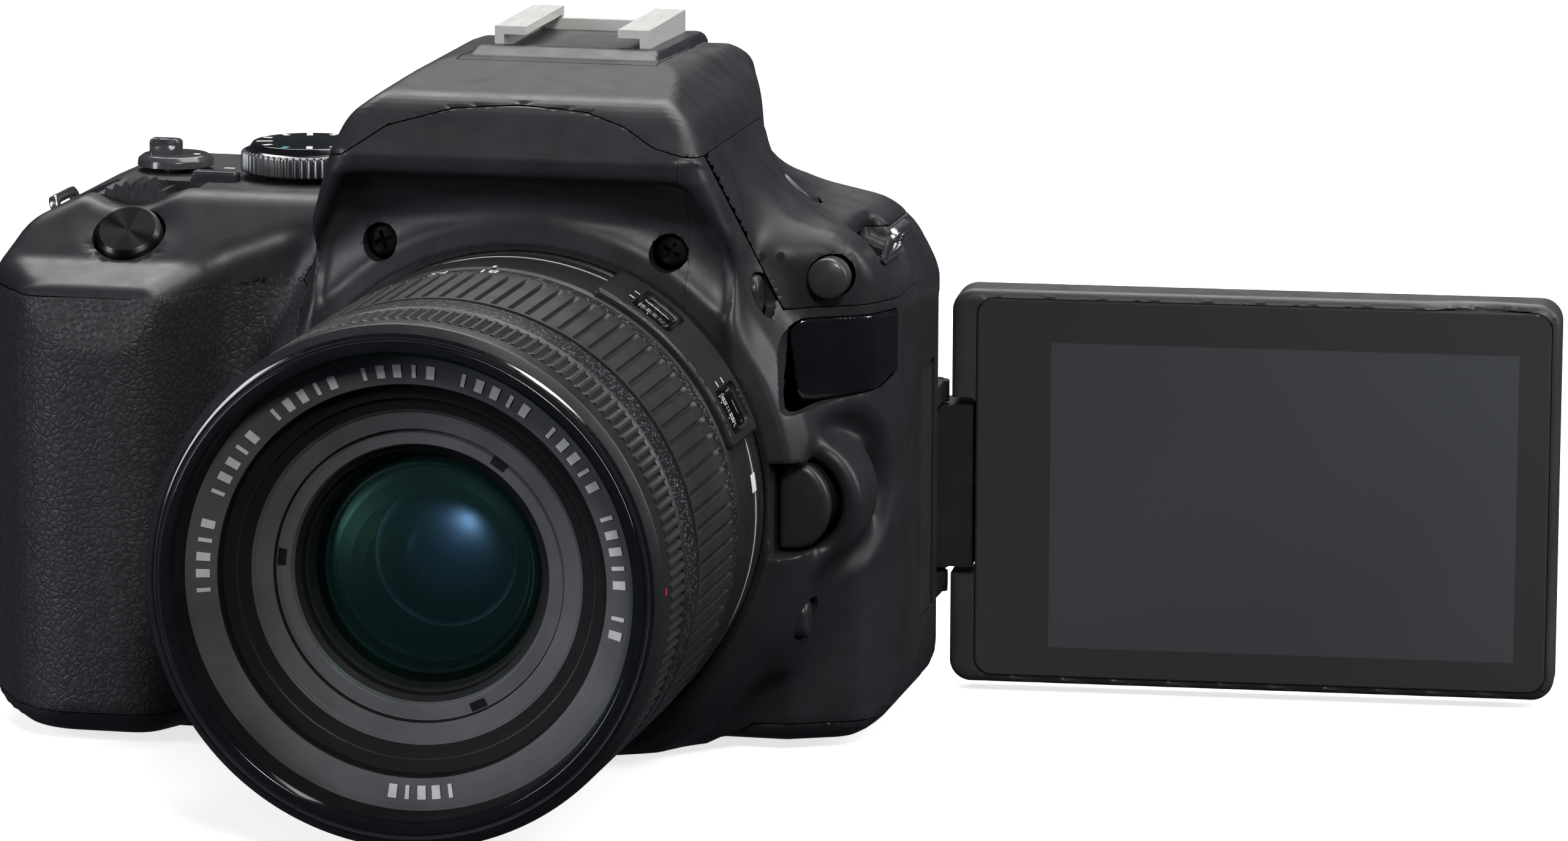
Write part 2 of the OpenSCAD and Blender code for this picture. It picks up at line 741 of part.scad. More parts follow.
module zoom_ring() {
    rib = 360 / zoom_ribs;
    root = lens_r - 0.6;
    color(rubber) {
        difference() {
            along_y(-69.8, -51) translate([0, axis_z])
                polygon([for (i = [0:zoom_ribs - 1]) for (p = [[root, 0], [lens_r, 0.02], [lens_r, 0.66], [root, 0.68]])
                    p[0] * [cos(rib * (i + p[1])), sin(rib * (i + p[1]))]]);
            disc(31.08, -80, -40);
        }
        ring(31.08, lens_r - 0.1, -51, -47.3);
        ring(31.08, lens_r - 0.1, -70.7, -69.8);
    }
}

module focus_ring() {
    tooth = 360 / focus_teeth;
    color(rubber) difference() {
        along_y(-86.1, -78.6) translate([0, axis_z])
            polygon([for (i = [0:focus_teeth - 1]) for (p = [[lens_r - 0.7, 0], [lens_r, 0.4], [lens_r, 0.6]])
                p[0] * [cos(tooth * (i + p[1])), sin(tooth * (i + p[1]))]]);
        disc(31.68, -100, -60);
    }
}

module front_barrel() {
    h = -front_end;
    tail = 52 - zoom_travel;      // the inner tube still reaches back to 52 when it is out
    color(black) turned([[29.9, tail], [29.9, 71.4], [lens_r, 71.4], [lens_r, 78.3], [31.6, 78.3], [31.6, 86.4],
        [lens_r, 86.4], [lens_r, h - 1.4], [32, h], [filter_r, h], [filter_r, h - 4.4], [28.1, h - 4.4],
        [28, h - 5], [24.7, h - 5.4], [24.7, h - 6.4], [21.6, h - 6.8], [21.6, h - 8.4], [17, h - 9.4],
        [16.9, h - 10.6], [15.6, h - 11], [15.6, 74], [26, 74], [28.4, 72], [28.4, tail]]);
}

// Lens element of radius r between y0 and y1, with its front domed by dome.
module element(r, y0, y1, dome) {
    ball = (r * r + dome * dome) / (2 * dome);
    edge = asin(r / ball);
    turned(concat([[0, -y1], [r, -y1]],
        [for (i = [0:8]) let (a = edge * (1 - i / 8)) [ball * sin(a), -y0 - dome + ball * cos(a) - ball + dome]]));
}
module front_glass() { color(glass) element(15.5, -80, -74.4, 2.6); }
module rear_glass() { color(glass) element(17.9, -35.2, -31.8, 1.2); }

module iris_unit() {
    color(black) {
        ring(25.5, 27.4, -50, -35.4);
        ring(10, 27, -50, -47.6);
        difference() {
            disc(10.2, -49, -48.6);
            along_y(-60, -40) translate([0, axis_z]) circle(r = 6, $fn = 7);
        }
    }
}

front_cover();
top_cover();
rear_cover();
base_cover();
grip_skin();
thumb_pad();
badge_plate();
chassis();
mirror_box();
mount_flange();
lamp_window();
accessory_shoe();
strap_lugs();
cover_screws();
tripod_socket();
eyecup();
eyepiece_lens();
pentamirror();
focusing_screen();
shutter_unit();
image_sensor();
main_board();
battery();
socket_block();
shutter_button();
main_dial();
power_switch();
mode_dial();
iso_button();
wireless_button();
flash_button();
release_button();
lock_pin();
preview_button();
flash_head();
flash_window();
reflex_mirror();
battery_door();
door_latch();
terminal_cover();
screen_hinge();
screen_case();
screen_panel();
diopter_wheel();
menu_button();
info_button();
live_view_button();
cross_keys();
set_button();
playback_button();
lens_bayonet();
lens_barrel();
zoom_ring();
focus_ring();
front_barrel();
front_glass();
rear_glass();
iris_unit();
focus_switch();
stabiliser_switch();
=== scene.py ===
"""Looks of a small reflex camera with an opened display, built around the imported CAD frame.

X runs along the body (the grip is at -X), Y from the lens (-Y) to the eyepiece, Z up. Blender works in
metres; fields, outlines and profiles are in mm.
"""

import json
import math

import bmesh
import bpy
import numpy as np
from mathutils import Matrix, Vector

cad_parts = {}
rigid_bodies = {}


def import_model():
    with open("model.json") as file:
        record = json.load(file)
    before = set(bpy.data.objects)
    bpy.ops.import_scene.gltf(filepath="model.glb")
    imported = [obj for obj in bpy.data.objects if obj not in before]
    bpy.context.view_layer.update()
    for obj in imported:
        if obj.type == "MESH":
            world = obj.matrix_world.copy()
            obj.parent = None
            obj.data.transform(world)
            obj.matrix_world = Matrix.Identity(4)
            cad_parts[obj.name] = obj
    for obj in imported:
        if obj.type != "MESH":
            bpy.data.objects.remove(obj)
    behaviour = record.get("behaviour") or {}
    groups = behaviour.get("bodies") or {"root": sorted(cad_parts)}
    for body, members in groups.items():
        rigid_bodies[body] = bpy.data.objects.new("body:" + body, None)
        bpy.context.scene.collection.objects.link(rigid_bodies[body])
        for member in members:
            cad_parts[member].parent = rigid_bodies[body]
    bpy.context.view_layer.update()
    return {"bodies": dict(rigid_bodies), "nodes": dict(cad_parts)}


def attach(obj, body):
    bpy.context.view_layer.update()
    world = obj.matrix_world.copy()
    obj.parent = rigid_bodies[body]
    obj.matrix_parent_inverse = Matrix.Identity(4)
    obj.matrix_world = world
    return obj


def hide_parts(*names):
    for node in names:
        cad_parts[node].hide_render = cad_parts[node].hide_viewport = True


MM = 0.001
AXIS_Z = 34.5          # height of the lens axis

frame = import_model()


# ---- camera ----
def add_camera(azimuth, elevation, roll, distance, aim_right, aim_up, lens):
    """Looks at the origin from azimuth (towards +X) and elevation, moved sideways and up in its own plane."""
    az, el = math.radians(azimuth), math.radians(elevation)
    right = Vector((math.cos(az), math.sin(az), 0))
    back = Vector((math.sin(az) * math.cos(el), -math.cos(az) * math.cos(el), math.sin(el)))
    right = Matrix.Rotation(math.radians(roll), 3, back) @ right
    up = back.cross(right)
    data = bpy.data.cameras.new("camera")
    data.lens = lens
    data.sensor_width = 36
    data.clip_start = 0.05
    data.clip_end = 20
    obj = bpy.data.objects.new("camera", data)
    bpy.context.scene.collection.objects.link(obj)
    turn = Matrix((right, up, back)).transposed().to_4x4()
    obj.matrix_world = Matrix.Translation(back * distance + right * aim_right + up * aim_up) @ turn
    bpy.context.scene.camera = obj


add_camera(12.0, 10.58, 0.29, 1.1, 28.54 * MM, 38.57 * MM, 186.4)


# ---- materials ----
def sock(node, name, value):
    node.inputs[name].default_value = value


class Look:
    """A Principled material with its texture coordinates, and short ways to add nodes to it."""

    def __init__(self, name, colour, roughness, metallic=0.0, specular=0.5, coat=0.0):
        self.mat = bpy.data.materials.new(name)
        self.mat.use_nodes = True
        self.tree = self.mat.node_tree
        self.bsdf = self.tree.nodes["Principled BSDF"]
        self.colour = colour
        self.roughness = roughness
        sock(self.bsdf, "Base Color", (*colour, 1))
        sock(self.bsdf, "Roughness", roughness)
        sock(self.bsdf, "Metallic", metallic)
        sock(self.bsdf, "Specular IOR Level", specular)
        sock(self.bsdf, "Coat Weight", coat)
        sock(self.bsdf, "Coat Roughness", 0.08)
        self.coords = self.tree.nodes.new("ShaderNodeTexCoord").outputs["Object"]
        self.height = None

    def add(self, kind, **values):
        node = self.tree.nodes.new("ShaderNode" + kind)
        for key, value in values.items():
            setattr(node, key, value)
        return node

    def join(self, out, node, name):
        self.tree.links.new(out, node.inputs[name])

    def scaled(self, scale):
        place = self.add("Mapping")
        sock(place, "Scale", scale)
        self.join(self.coords, place, "Vector")
        return place.outputs[0]

    def noise(self, size, detail=3.0, stretch=(1, 1, 1)):
        """Noise whose features are about size mm."""
        node = self.add("TexNoise")
        sock(node, "Scale", 1.0)
        sock(node, "Detail", detail)
        self.join(self.scaled([s / (size * MM) for s in stretch]), node, "Vector")
        return node.outputs["Fac"]

    def cells(self, size, feature="F1"):
        """Voronoi cells about size mm wide."""
        node = self.add("TexVoronoi", feature=feature)
        sock(node, "Scale", 1.0)
        self.join(self.scaled([1 / (size * MM)] * 3), node, "Vector")
        return node

    def spread(self, out, low, high, to_low, to_high):
        node = self.add("MapRange")
        for name, value in (("From Min", low), ("From Max", high), ("To Min", to_low), ("To Max", to_high)):
            sock(node, name, value)
        self.join(out, node, "Value")
        return node.outputs[0]

    def bump(self, out, height, strength=1.0):
        """Adds relief of height mm to what is there already."""
        node = self.add("Bump")
        sock(node, "Strength", strength)
        sock(node, "Distance", height * MM)
        self.join(out, node, "Height")
        if self.height:
            self.join(self.height, node, "Normal")
        self.height = node.outputs[0]
        self.join(self.height, self.bsdf, "Normal")

    def tint(self, out, other, low=0.35, high=0.65):
        """Mixes the colour with another one by a texture."""
        mix = self.add("Mix", data_type="RGBA")
        self.join(self.spread(out, low, high, 0.0, 1.0), mix, "Factor")
        sock(mix, "A", (*self.colour, 1))
        sock(mix, "B", (*other, 1))
        self.join(mix.outputs["Result"], self.bsdf, "Base Color")

    def rough(self, out, amount):
        """Varies the roughness by amount both ways."""
        value = self.spread(out, 0.3, 0.7, self.roughness - amount, self.roughness + amount)
        self.join(value, self.bsdf, "Roughness")


def moulded(name, colour, roughness, grain=0.28, depth=0.012, specular=0.45):
    """Spark-eroded moulded plastic: a fine even grain, and slow changes of colour and gloss."""
    look = Look(name, colour, roughness, specular=specular)
    look.tint(look.noise(9, 4), [c * 1.35 for c in colour])
    look.rough(look.noise(3.5, 5), 0.05)
    look.bump(look.noise(grain, 2), depth)
    return look.mat


def polished(name, colour, roughness=0.12, coat=0.6):
    look = Look(name, colour, roughness, coat=coat)
    look.tint(look.noise(6, 5), [c * 1.3 + 0.001 for c in colour])
    look.rough(look.noise(1.2, 5), 0.05)
    look.bump(look.noise(5, 2), 0.004, 0.5)
    return look.mat


def screen_glass(name, colour):
    """Flat cover glass: nearly even, with faint smears that show only in its gloss."""
    look = Look(name, colour, 0.09, coat=1.0)
    look.tint(look.noise(40, 1), [c * 1.12 for c in colour])
    look.rough(look.noise(7, 4), 0.025)
    return look.mat


def brushed(name, colour, roughness, along=(1, 1, 1), metallic=1.0):
    """Metal with fine lines; along is how often the lines change along each axis."""
    look = Look(name, colour, roughness, metallic=metallic)
    lines = look.noise(0.12, 2, along)
    look.tint(lines, [c * 0.93 for c in colour])
    look.rough(look.noise(0.3, 2, along), 0.04)
    look.bump(lines, 0.0008)
    return look.mat


def leather():
    """Pebbled rubber of the grip: rounded grains about a millimetre wide with thin creases between, and
    painted shade that darkens the colour from the grains' tops into the creases.
    """
    look = Look("grip_leather", (0.020, 0.021, 0.024), 0.5, specular=0.4)
    gloss = look.spread(look.noise(2.0, 2), 0.3, 0.7, 0.42, 0.56)
    look.join(gloss, look.bsdf, "Roughness")
    wobble = look.add("TexNoise")
    sock(wobble, "Scale", 600.0)
    look.join(look.coords, wobble, "Vector")
    shift = look.add("VectorMath", operation="SCALE")
    sock(shift, "Scale", 0.9 * MM)
    look.join(wobble.outputs["Color"], shift, 0)
    moved = look.add("VectorMath", operation="ADD")
    look.join(look.coords, moved, 0)
    look.join(shift.outputs[0], moved, 1)
    look.coords = moved.outputs[0]
    edge = look.cells(0.95, "DISTANCE_TO_EDGE").outputs["Distance"]
    pebble = look.spread(edge, 0.0, 0.22, 0.0, 1.0)
    # painted shade: the colour is darker in the creases between the grains and lighter on their tops
    look.tint(pebble, (0.034, 0.035, 0.039), 0.0, 1.0)
    look.bump(pebble, 0.055)
    look.bump(look.noise(0.18, 3), 0.02)
    return look.mat


def speckled(name, colour, fleck, roughness=0.32):
    """Plastic with fine bright flecks, as on the lens rings."""
    look = Look(name, colour, roughness, specular=0.6)
    part = look.add("SeparateColor")
    look.join(look.cells(0.22).outputs["Color"], part, "Color")
    look.tint(part.outputs[0], fleck, 0.86, 1.0)
    look.bump(part.outputs[1], 0.012)
    return look.mat


def spun():
    """Turned metal of the shutter button, with the cone-shaped highlight that fine circular lines give."""
    look = Look("spun_metal", (0.07, 0.07, 0.072), 0.36, metallic=1.0)
    sock(look.bsdf, "Anisotropic", 0.85)
    sock(look.bsdf, "Anisotropic Rotation", 0.25)
    way = look.add("Tangent", direction_type="RADIAL", axis="Z")
    look.join(way.outputs[0], look.bsdf, "Tangent")
    split = look.add("SeparateXYZ")
    look.join(look.coords, split, "Vector")
    flat = look.add("CombineXYZ")
    look.join(split.outputs["X"], flat, "X")
    look.join(split.outputs["Y"], flat, "Y")
    far = look.add("VectorMath", operation="LENGTH")
    look.join(flat.outputs[0], far, 0)
    lines = look.add("TexNoise", noise_dimensions="1D")
    sock(lines, "Scale", 9000.0)
    look.join(far.outputs["Value"], lines, "W")
    look.bump(lines.outputs["Fac"], 0.004)
    look.tint(lines.outputs["Fac"], (0.05, 0.05, 0.053))
    return look.mat


def clear(name, tint, sheen, blur=0.015):
    """Coated glass: clear when looked straight through, with a tinted gloss, sheen times as strong as on
    plain glass."""
    mat = bpy.data.materials.new(name)
    mat.use_nodes = True
    tree = mat.node_tree
    tree.nodes.remove(tree.nodes["Principled BSDF"])
    gloss = tree.nodes.new("ShaderNodeBsdfGlossy")
    sock(gloss, "Color", (*tint, 1))
    sock(gloss, "Roughness", blur)
    through = tree.nodes.new("ShaderNodeBsdfTransparent")
    sock(through, "Color", (0.93, 0.96, 0.94, 1))
    rim = tree.nodes.new("ShaderNodeFresnel")
    sock(rim, "IOR", 1.5)
    gain = tree.nodes.new("ShaderNodeMath")
    gain.operation = "MULTIPLY"
    gain.use_clamp = True
    sock(gain, 1, sheen)
    mix = tree.nodes.new("ShaderNodeMixShader")
    tree.links.new(rim.outputs[0], gain.inputs[0])
    tree.links.new(gain.outputs[0], mix.inputs["Fac"])
    tree.links.new(through.outputs[0], mix.inputs[1])
    tree.links.new(gloss.outputs[0], mix.inputs[2])
    tree.links.new(mix.outputs[0], tree.nodes["Material Output"].inputs["Surface"])
    return mat


body_black = moulded("body_black", (0.0175, 0.0185, 0.0215), 0.42)
lens_plastic = moulded("lens_plastic", (0.016, 0.0165, 0.019), 0.38, 0.35, 0.008)
inner_black = moulded("inner_black", (0.006, 0.006, 0.007), 0.6, specular=0.2)
button_black = moulded("button_black", (0.022, 0.023, 0.026), 0.35, 0.2, 0.004)
case_black = moulded("case_black", (0.045, 0.045, 0.046), 0.42, 0.24, 0.008)
ring_rubber = moulded("ring_rubber", (0.026, 0.026, 0.027), 0.42, 0.5, 0.008, 0.4)
soft_rubber = moulded("soft_rubber", (0.02, 0.02, 0.022), 0.62, 0.4, 0.015, 0.3)
name_grey = moulded("name_grey", (0.075, 0.075, 0.082), 0.45, 0.3, 0.01)
ring_grey = moulded("ring_grey", (0.085, 0.085, 0.092), 0.42, 0.22, 0.02)
mark_white = moulded("mark_white", (0.72, 0.72, 0.7), 0.5, 0.2, 0.003)
mark_soft = moulded("mark_soft", (0.55, 0.55, 0.57), 0.5, 0.2, 0.003)
mark_teal = moulded("mark_teal", (0.02, 0.32, 0.36), 0.5, 0.2, 0.003)
mark_red = moulded("mark_red", (0.55, 0.02, 0.02), 0.4, 0.2, 0.003)
board_green = moulded("board_green", (0.01, 0.07, 0.03), 0.45)
cell_grey = moulded("cell_grey", (0.14, 0.14, 0.15), 0.5)
grip_rubber = leather()
ring_speckle = speckled("ring_speckle", (0.012, 0.012, 0.014), (0.24, 0.25, 0.28))
gloss_black = polished("gloss_black", (0.006, 0.006, 0.008))
dark_chrome = polished("dark_chrome", (0.05, 0.05, 0.055), 0.2, 0.3)
smoked = polished("smoked", (0.05, 0.05, 0.053), 0.3, 0.2)
# lighter grey for the edges of the steps inside the lens: painted glints, standing in for the thin bright
# circles that light draws on the rims of the glass elements
painted_ring_glint = polished("painted_ring_glint", (0.3, 0.33, 0.34), 0.3)
rail_steel = brushed("rail_steel", (0.85, 0.84, 0.82), 0.34, (1, 0.06, 1), 0.3)
mount_steel = brushed("mount_steel", (0.7, 0.7, 0.71), 0.22)
lug_steel = brushed("lug_steel", (0.7, 0.7, 0.71), 0.24, (1, 1, 0.2))
screw_metal = brushed("screw_metal", (0.05, 0.05, 0.055), 0.35)
teeth_metal = brushed("teeth_metal", (0.2, 0.2, 0.21), 0.36, (1, 1, 0.15))
spun_metal = spun()
front_coat = clear("front_coat", (0.3, 0.85, 0.68), 3.6, 0.24)
inner_coat = clear("inner_coat", (0.55, 0.4, 1.0), 1.6, 0.12)
glow_coat = clear("glow_coat", (0.28, 0.48, 1.0), 22.0, 0.38)
rear_coat = clear("rear_coat", (0.25, 1.0, 0.45), 14.0, 0.25)
finder_glass = clear("finder_glass", (0.8, 0.85, 0.9), 1.4)
display_border = screen_glass("display_border", (0.06, 0.058, 0.057))
display_image = screen_glass("display_image", (0.09, 0.095, 0.107))


# ---- studio ----
# name, place, aim, size, power and colour of the soft boxes
LIGHTS = (
    ("top", (0.25, 0.2, 0.95), (0, 0, 0.05), (0.8, 0.5), 5.5, (1, 0.97, 0.94)),
    ("left", (-1.0, -0.8, 0.4), (-0.03, 0, 0.04), (0.3, 0.7), 7, (0.93, 0.96, 1)),
    ("right", (0.9, 0.1, 0.55), (0.04, 0, 0.05), (0.2, 0.7), 5, (1, 1, 1)),
    ("front", (0.5, -1.15, 0.95), (0.04, 0, 0.04), (0.4, 0.3), 11, (1, 0.99, 0.97)),
    ("back", (-0.3, 1.0, 1.1), (0, 0, 0.05), (1.0, 0.4), 9, (1, 1, 1)),
)


def add_light(name, place, aim, size, power, colour):
    data = bpy.data.lights.new(name, "AREA")
    data.shape = "RECTANGLE"
    data.size, data.size_y = size
    data.energy = power
    data.color = colour
    obj = bpy.data.objects.new(name, data)
    bpy.context.scene.collection.objects.link(obj)
    obj.location = place
    obj.rotation_euler = (Vector(aim) - Vector(place)).to_track_quat("-Z", "Y").to_euler()


def add_world():
    """White surroundings for the camera, and dim ones for reflections."""
    world = bpy.data.worlds.new("studio")
    world.use_nodes = True
    tree = world.node_tree
    dim = tree.nodes["Background"]
    sock(dim, "Color", (0.75, 0.85, 1, 1))
    sock(dim, "Strength", 0.04)
    white = tree.nodes.new("ShaderNodeBackground")
    sock(white, "Strength", 1.05)
    ray = tree.nodes.new("ShaderNodeLightPath")
    mix = tree.nodes.new("ShaderNodeMixShader")
    tree.links.new(ray.outputs["Is Camera Ray"], mix.inputs["Fac"])
    tree.links.new(dim.outputs[0], mix.inputs[1])
    tree.links.new(white.outputs[0], mix.inputs[2])
    tree.links.new(mix.outputs[0], tree.nodes["World Output"].inputs["Surface"])
    bpy.context.scene.world = world
    bpy.context.scene.view_settings.view_transform = "Standard"


def add_floor(half):
    """Pale floor just under the camera, which neither reflections nor bounced light see."""
    corners = [(-half, -half, 0), (half, -half, 0), (half, half, 0), (-half, half, 0)]
    mesh = bpy.data.meshes.new("floor")
    mesh.from_pydata(corners, [], [(0, 1, 2, 3)])
    floor = bpy.data.objects.new("floor", mesh)
    bpy.context.scene.collection.objects.link(floor)
    floor.location.z = -0.0012
    floor.visible_glossy = False
    floor.visible_diffuse = False
    look = Look("floor_white", (0.95, 0.95, 0.95), 0.8, specular=0.1)
    sock(look.bsdf, "Emission Color", (1, 1, 1, 1))
    sock(look.bsdf, "Emission Strength", 0.75)
    mesh.materials.append(look.mat)


add_world()
add_floor(3)
for light in LIGHTS:
    add_light(*light)


# ---- fields: negative inside ----
def soft_min(a, b, k):
    k = np.maximum(k, 1e-6)
    h = np.maximum(k - np.abs(a - b), 0) / k
    return np.minimum(a, b) - h * h * k / 4


def soft_max(a, b, k):
    return -soft_min(-a, -b, k)


def common(first, *others):
    """Where all the fields are inside."""
    for field in others:
        first = np.maximum(first, field)
    return first


def cut(field, *tools):
    for tool in tools:
        field = np.maximum(field, -tool)
    return field


def round_corner(a, p, b, steps):
    """Arc points of corner p = (x, y, radius) between its neighbours a and b."""
    q = np.array(p[:2], float)
    if p[2] == 0:
        return [q]
    u = np.array(a[:2]) - q
    v = np.array(b[:2]) - q
    u, v = u / np.linalg.norm(u), v / np.linalg.norm(v)
    half = math.acos(np.clip(u @ v, -1, 1)) / 2
    centre = q + (u + v) / np.linalg.norm(u + v) * p[2] / math.sin(half)
    s, e = q + u * p[2] / math.tan(half) - centre, q + v * p[2] / math.tan(half) - centre
    t0, t1 = math.atan2(s[1], s[0]), math.atan2(e[1], e[0])
    turn = (t1 - t0 + math.pi) % (2 * math.pi) - math.pi
    angles = [t0 + turn * i / steps for i in range(steps + 1)]
    return [centre + p[2] * np.array([math.cos(t), math.sin(t)]) for t in angles]


def rounded(points, steps=6):
    out = []
    for i, p in enumerate(points):
        out += round_corner(points[i - 1], p, points[(i + 1) % len(points)], steps)
    return np.array(out)


class Outline:
    """Signed distance to a closed outline of (x, y, corner radius), kept on a fine grid."""

    def __init__(self, points, pad=14.0, step=0.2):
        line = rounded(points)
        self.low = line.min(0) - pad
        self.step = step
        count = np.ceil((line.max(0) + pad - self.low) / step).astype(int) + 1
        x = self.low[0] + step * np.arange(count[0])
        y = self.low[1] + step * np.arange(count[1])
        gx, gy = np.meshgrid(x, y, indexing="ij")
        best = np.full(gx.shape, 1e9)
        inside = np.zeros(gx.shape, bool)
        for a, b in zip(line, np.roll(line, -1, axis=0)):
            d = b - a
            length = d @ d
            if length < 1e-12:
                continue
            t = np.clip(((gx - a[0]) * d[0] + (gy - a[1]) * d[1]) / length, 0, 1)
            best = np.minimum(best, (gx - a[0] - t * d[0]) ** 2 + (gy - a[1] - t * d[1]) ** 2)
            if a[1] != b[1]:
                inside ^= ((a[1] > gy) != (b[1] > gy)) & (gx < d[0] * (gy - a[1]) / d[1] + a[0])
        self.grid = np.where(inside, -1, 1) * np.sqrt(best)
        self.slope = np.gradient(self.grid, step)

    def look_up(self, x, y, *grids):
        """Values of the grids at points, read linearly between grid points."""
        u = np.clip((x - self.low[0]) / self.step, 0, self.grid.shape[0] - 1.001)
        v = np.clip((y - self.low[1]) / self.step, 0, self.grid.shape[1] - 1.001)
        i, j = u.astype(int), v.astype(int)
        u, v = u - i, v - j
        return [g[i, j] * (1 - u) * (1 - v) + g[i + 1, j] * u * (1 - v)
                + g[i, j + 1] * (1 - u) * v + g[i + 1, j + 1] * u * v for g in grids]

    def __call__(self, x, y):
        return self.look_up(x, y, self.grid)[0]

    def with_slope(self, x, y):
        return self.look_up(x, y, self.grid, *self.slope)


def meet(p, plan, front, side, k):
    """Where three extruded outlines overlap, with soft edges; walls that two outlines share stay in place."""
    x, y, z = p.T
    a, ax, ay = plan.with_slope(x, y)
    b, bx, bz = front.with_slope(x, z)
    c, cy, cz = side.with_slope(y, z)
    both = soft_max(a, b, k * (1 - np.clip(ax * bx, 0, 1)))
    t = np.clip(0.5 + (a - b) / k / 2, 0, 1)
    shared = t * ay * cy + (1 - t) * bz * cz
    return soft_max(both, c, k * (1 - np.clip(shared, 0, 1)))


def near(p, place):
    return p - np.array(place, float)


def box_field(p, low, high, r=0.0):
    """Box from low to high with edges of radius r."""
    low, high = np.array(low, float), np.array(high, float)
    q = np.abs(p - (low + high) / 2) - (high - low) / 2 + r
    return np.linalg.norm(np.maximum(q, 0), axis=1) + np.minimum(q.max(axis=1), 0) - r


def rod_field(p, place, axis, r, half):
    """Round bar centred on place along an axis."""
    rel = near(p, place)
    along = rel @ np.array(axis, float)
    out = np.sqrt(np.maximum((rel * rel).sum(1) - along * along, 0))
    a, b = out - r, np.abs(along) - half
    return np.minimum(np.maximum(a, b), 0) + np.hypot(np.maximum(a, 0), np.maximum(b, 0))


def round_rect(a, b, half_a, half_b, r):
    """Rectangle of half_a by half_b grown by r, in two dimensions; flat inside."""
    return np.hypot(np.maximum(np.abs(a) - half_a, 0), np.maximum(np.abs(b) - half_b, 0)) - r


def ball_field(p, place, radii):
    """Ellipsoid; close to a true distance near its surface."""
    q = (p - np.array(place, float)) / np.array(radii, float)
    k0 = np.linalg.norm(q, axis=1)
    k1 = np.linalg.norm(q / np.array(radii, float), axis=1)
    return k0 * (k0 - 1) / np.maximum(k1, 1e-9)


def turned_about_y(p, place, degrees):
    """Points in a frame at place that is turned about Y."""
    c, s = math.cos(math.radians(degrees)), math.sin(math.radians(degrees))
    x, y, z = near(p, place).T
    return np.stack([x * c - z * s, y, x * s + z * c], 1)


# ---- surface of a field ----
def in_chunks(field, points, size=400000):
    return np.concatenate([field(points[i:i + size]) for i in range(0, len(points), size)])


def crossings(field, low, high, h):
    """Grid edges that the surface crosses, with their direction, side and point, and the grid's size."""
    block = 6
    cells = (np.ceil((np.array(high) - low) / h / block).astype(int) + 1) * block
    blocks = np.argwhere(np.ones(cells // block, bool))
    close = np.abs(in_chunks(field, low + (blocks + 0.5) * block * h)) < block * h * 1.15
    need = np.zeros(cells + 1, bool)
    for first in blocks[close] * block:
        need[tuple(slice(k, k + block + 1) for k in first)] = True
    value = np.full(cells + 1, np.nan)
    value[need] = in_chunks(field, low + np.argwhere(need) * h)
    found = []
    for axis, way in enumerate(np.eye(3)):
        a, b = [slice(None)] * 3, [slice(None)] * 3
        a[axis], b[axis] = slice(0, -1), slice(1, None)
        va, vb = value[tuple(a)], value[tuple(b)]
        edge = np.argwhere(((va < 0) != (vb < 0)) & ~np.isnan(va) & ~np.isnan(vb))
        others = [k for k in range(3) if k != axis]
        edge = edge[np.all([(edge[:, k] > 0) & (edge[:, k] < cells[k]) for k in others], axis=0)]
        fa, fb = va[tuple(edge.T)], vb[tuple(edge.T)]
        point = low + (edge + (fa / (fa - fb))[:, None] * way) * h
        found.append((edge, np.full(len(edge), axis), fa >= 0, point))
    return *map(np.concatenate, zip(*found)), cells


def field_surface(field, low, high, h):
    """Quads of the surface where field is zero, on a grid of size h, with sharp edges kept: each cell that
    the surface crosses has one vertex, where the tangent planes at the cell's crossings meet."""
    low = np.array(low, float)
    edge, axis, flip, x, cells = crossings(field, low, high, h)
    rows = np.arange(len(edge))
    way = np.eye(3)[axis]
    ends = np.stack([low + edge * h, low + (edge + way) * h])
    reach = 0.02
    rises = [in_chunks(field, x + d) - in_chunks(field, x - d) for d in np.eye(3) * reach]
    grad = np.stack(rises, 1) / (2 * reach)
    along = grad[rows, axis]
    step = np.clip(in_chunks(field, x) / np.where(np.abs(along) > 0.3, along, np.inf), -h / 4, h / 4)
    x = np.clip(x - step[:, None] * way, ends.min(0), ends.max(0))
    normal = grad / np.maximum(np.linalg.norm(grad, axis=1, keepdims=True), 1e-9)
    stride = np.array([cells[1] * cells[2], cells[2], 1])
    around = np.zeros((len(edge), 4), int)
    for k, (dp, dq) in enumerate(((-1, -1), (0, -1), (0, 0), (-1, 0))):
        c = edge.copy()
        c[rows, (axis + 1) % 3] += dp
        c[rows, (axis + 2) % 3] += dq
        around[:, k] = c @ stride
    used, corner = np.unique(around, return_inverse=True)
    corner = corner.reshape(around.shape)
    n = len(used)
    ata, atb, mass, count = np.zeros((n, 3, 3)), np.zeros((n, 3)), np.zeros((n, 3)), np.zeros(n)
    base = np.stack([used // stride[0], used % stride[0] // stride[1], used % stride[1]], 1)
    centre = low + (base + 0.5) * h
    for c in corner.T:
        rel = x - centre[c]
        dist = (rel * normal).sum(1)
        for i in range(3):
            mass[:, i] += np.bincount(c, rel[:, i], n)
            atb[:, i] += np.bincount(c, normal[:, i] * dist, n)
            for j in range(3):
                ata[:, i, j] += np.bincount(c, normal[:, i] * normal[:, j], n)
        count += np.bincount(c, minlength=n)
    mass /= count[:, None]
    pull = 0.06
    rest = atb - np.einsum("nij,nj->ni", ata, mass)
    move = np.linalg.solve(ata + pull * np.eye(3), rest[:, :, None])[:, :, 0]
    verts = centre + np.clip(mass + move, -0.5 * h, 0.5 * h)
    return verts, np.where(flip[:, None], corner[:, ::-1], corner)


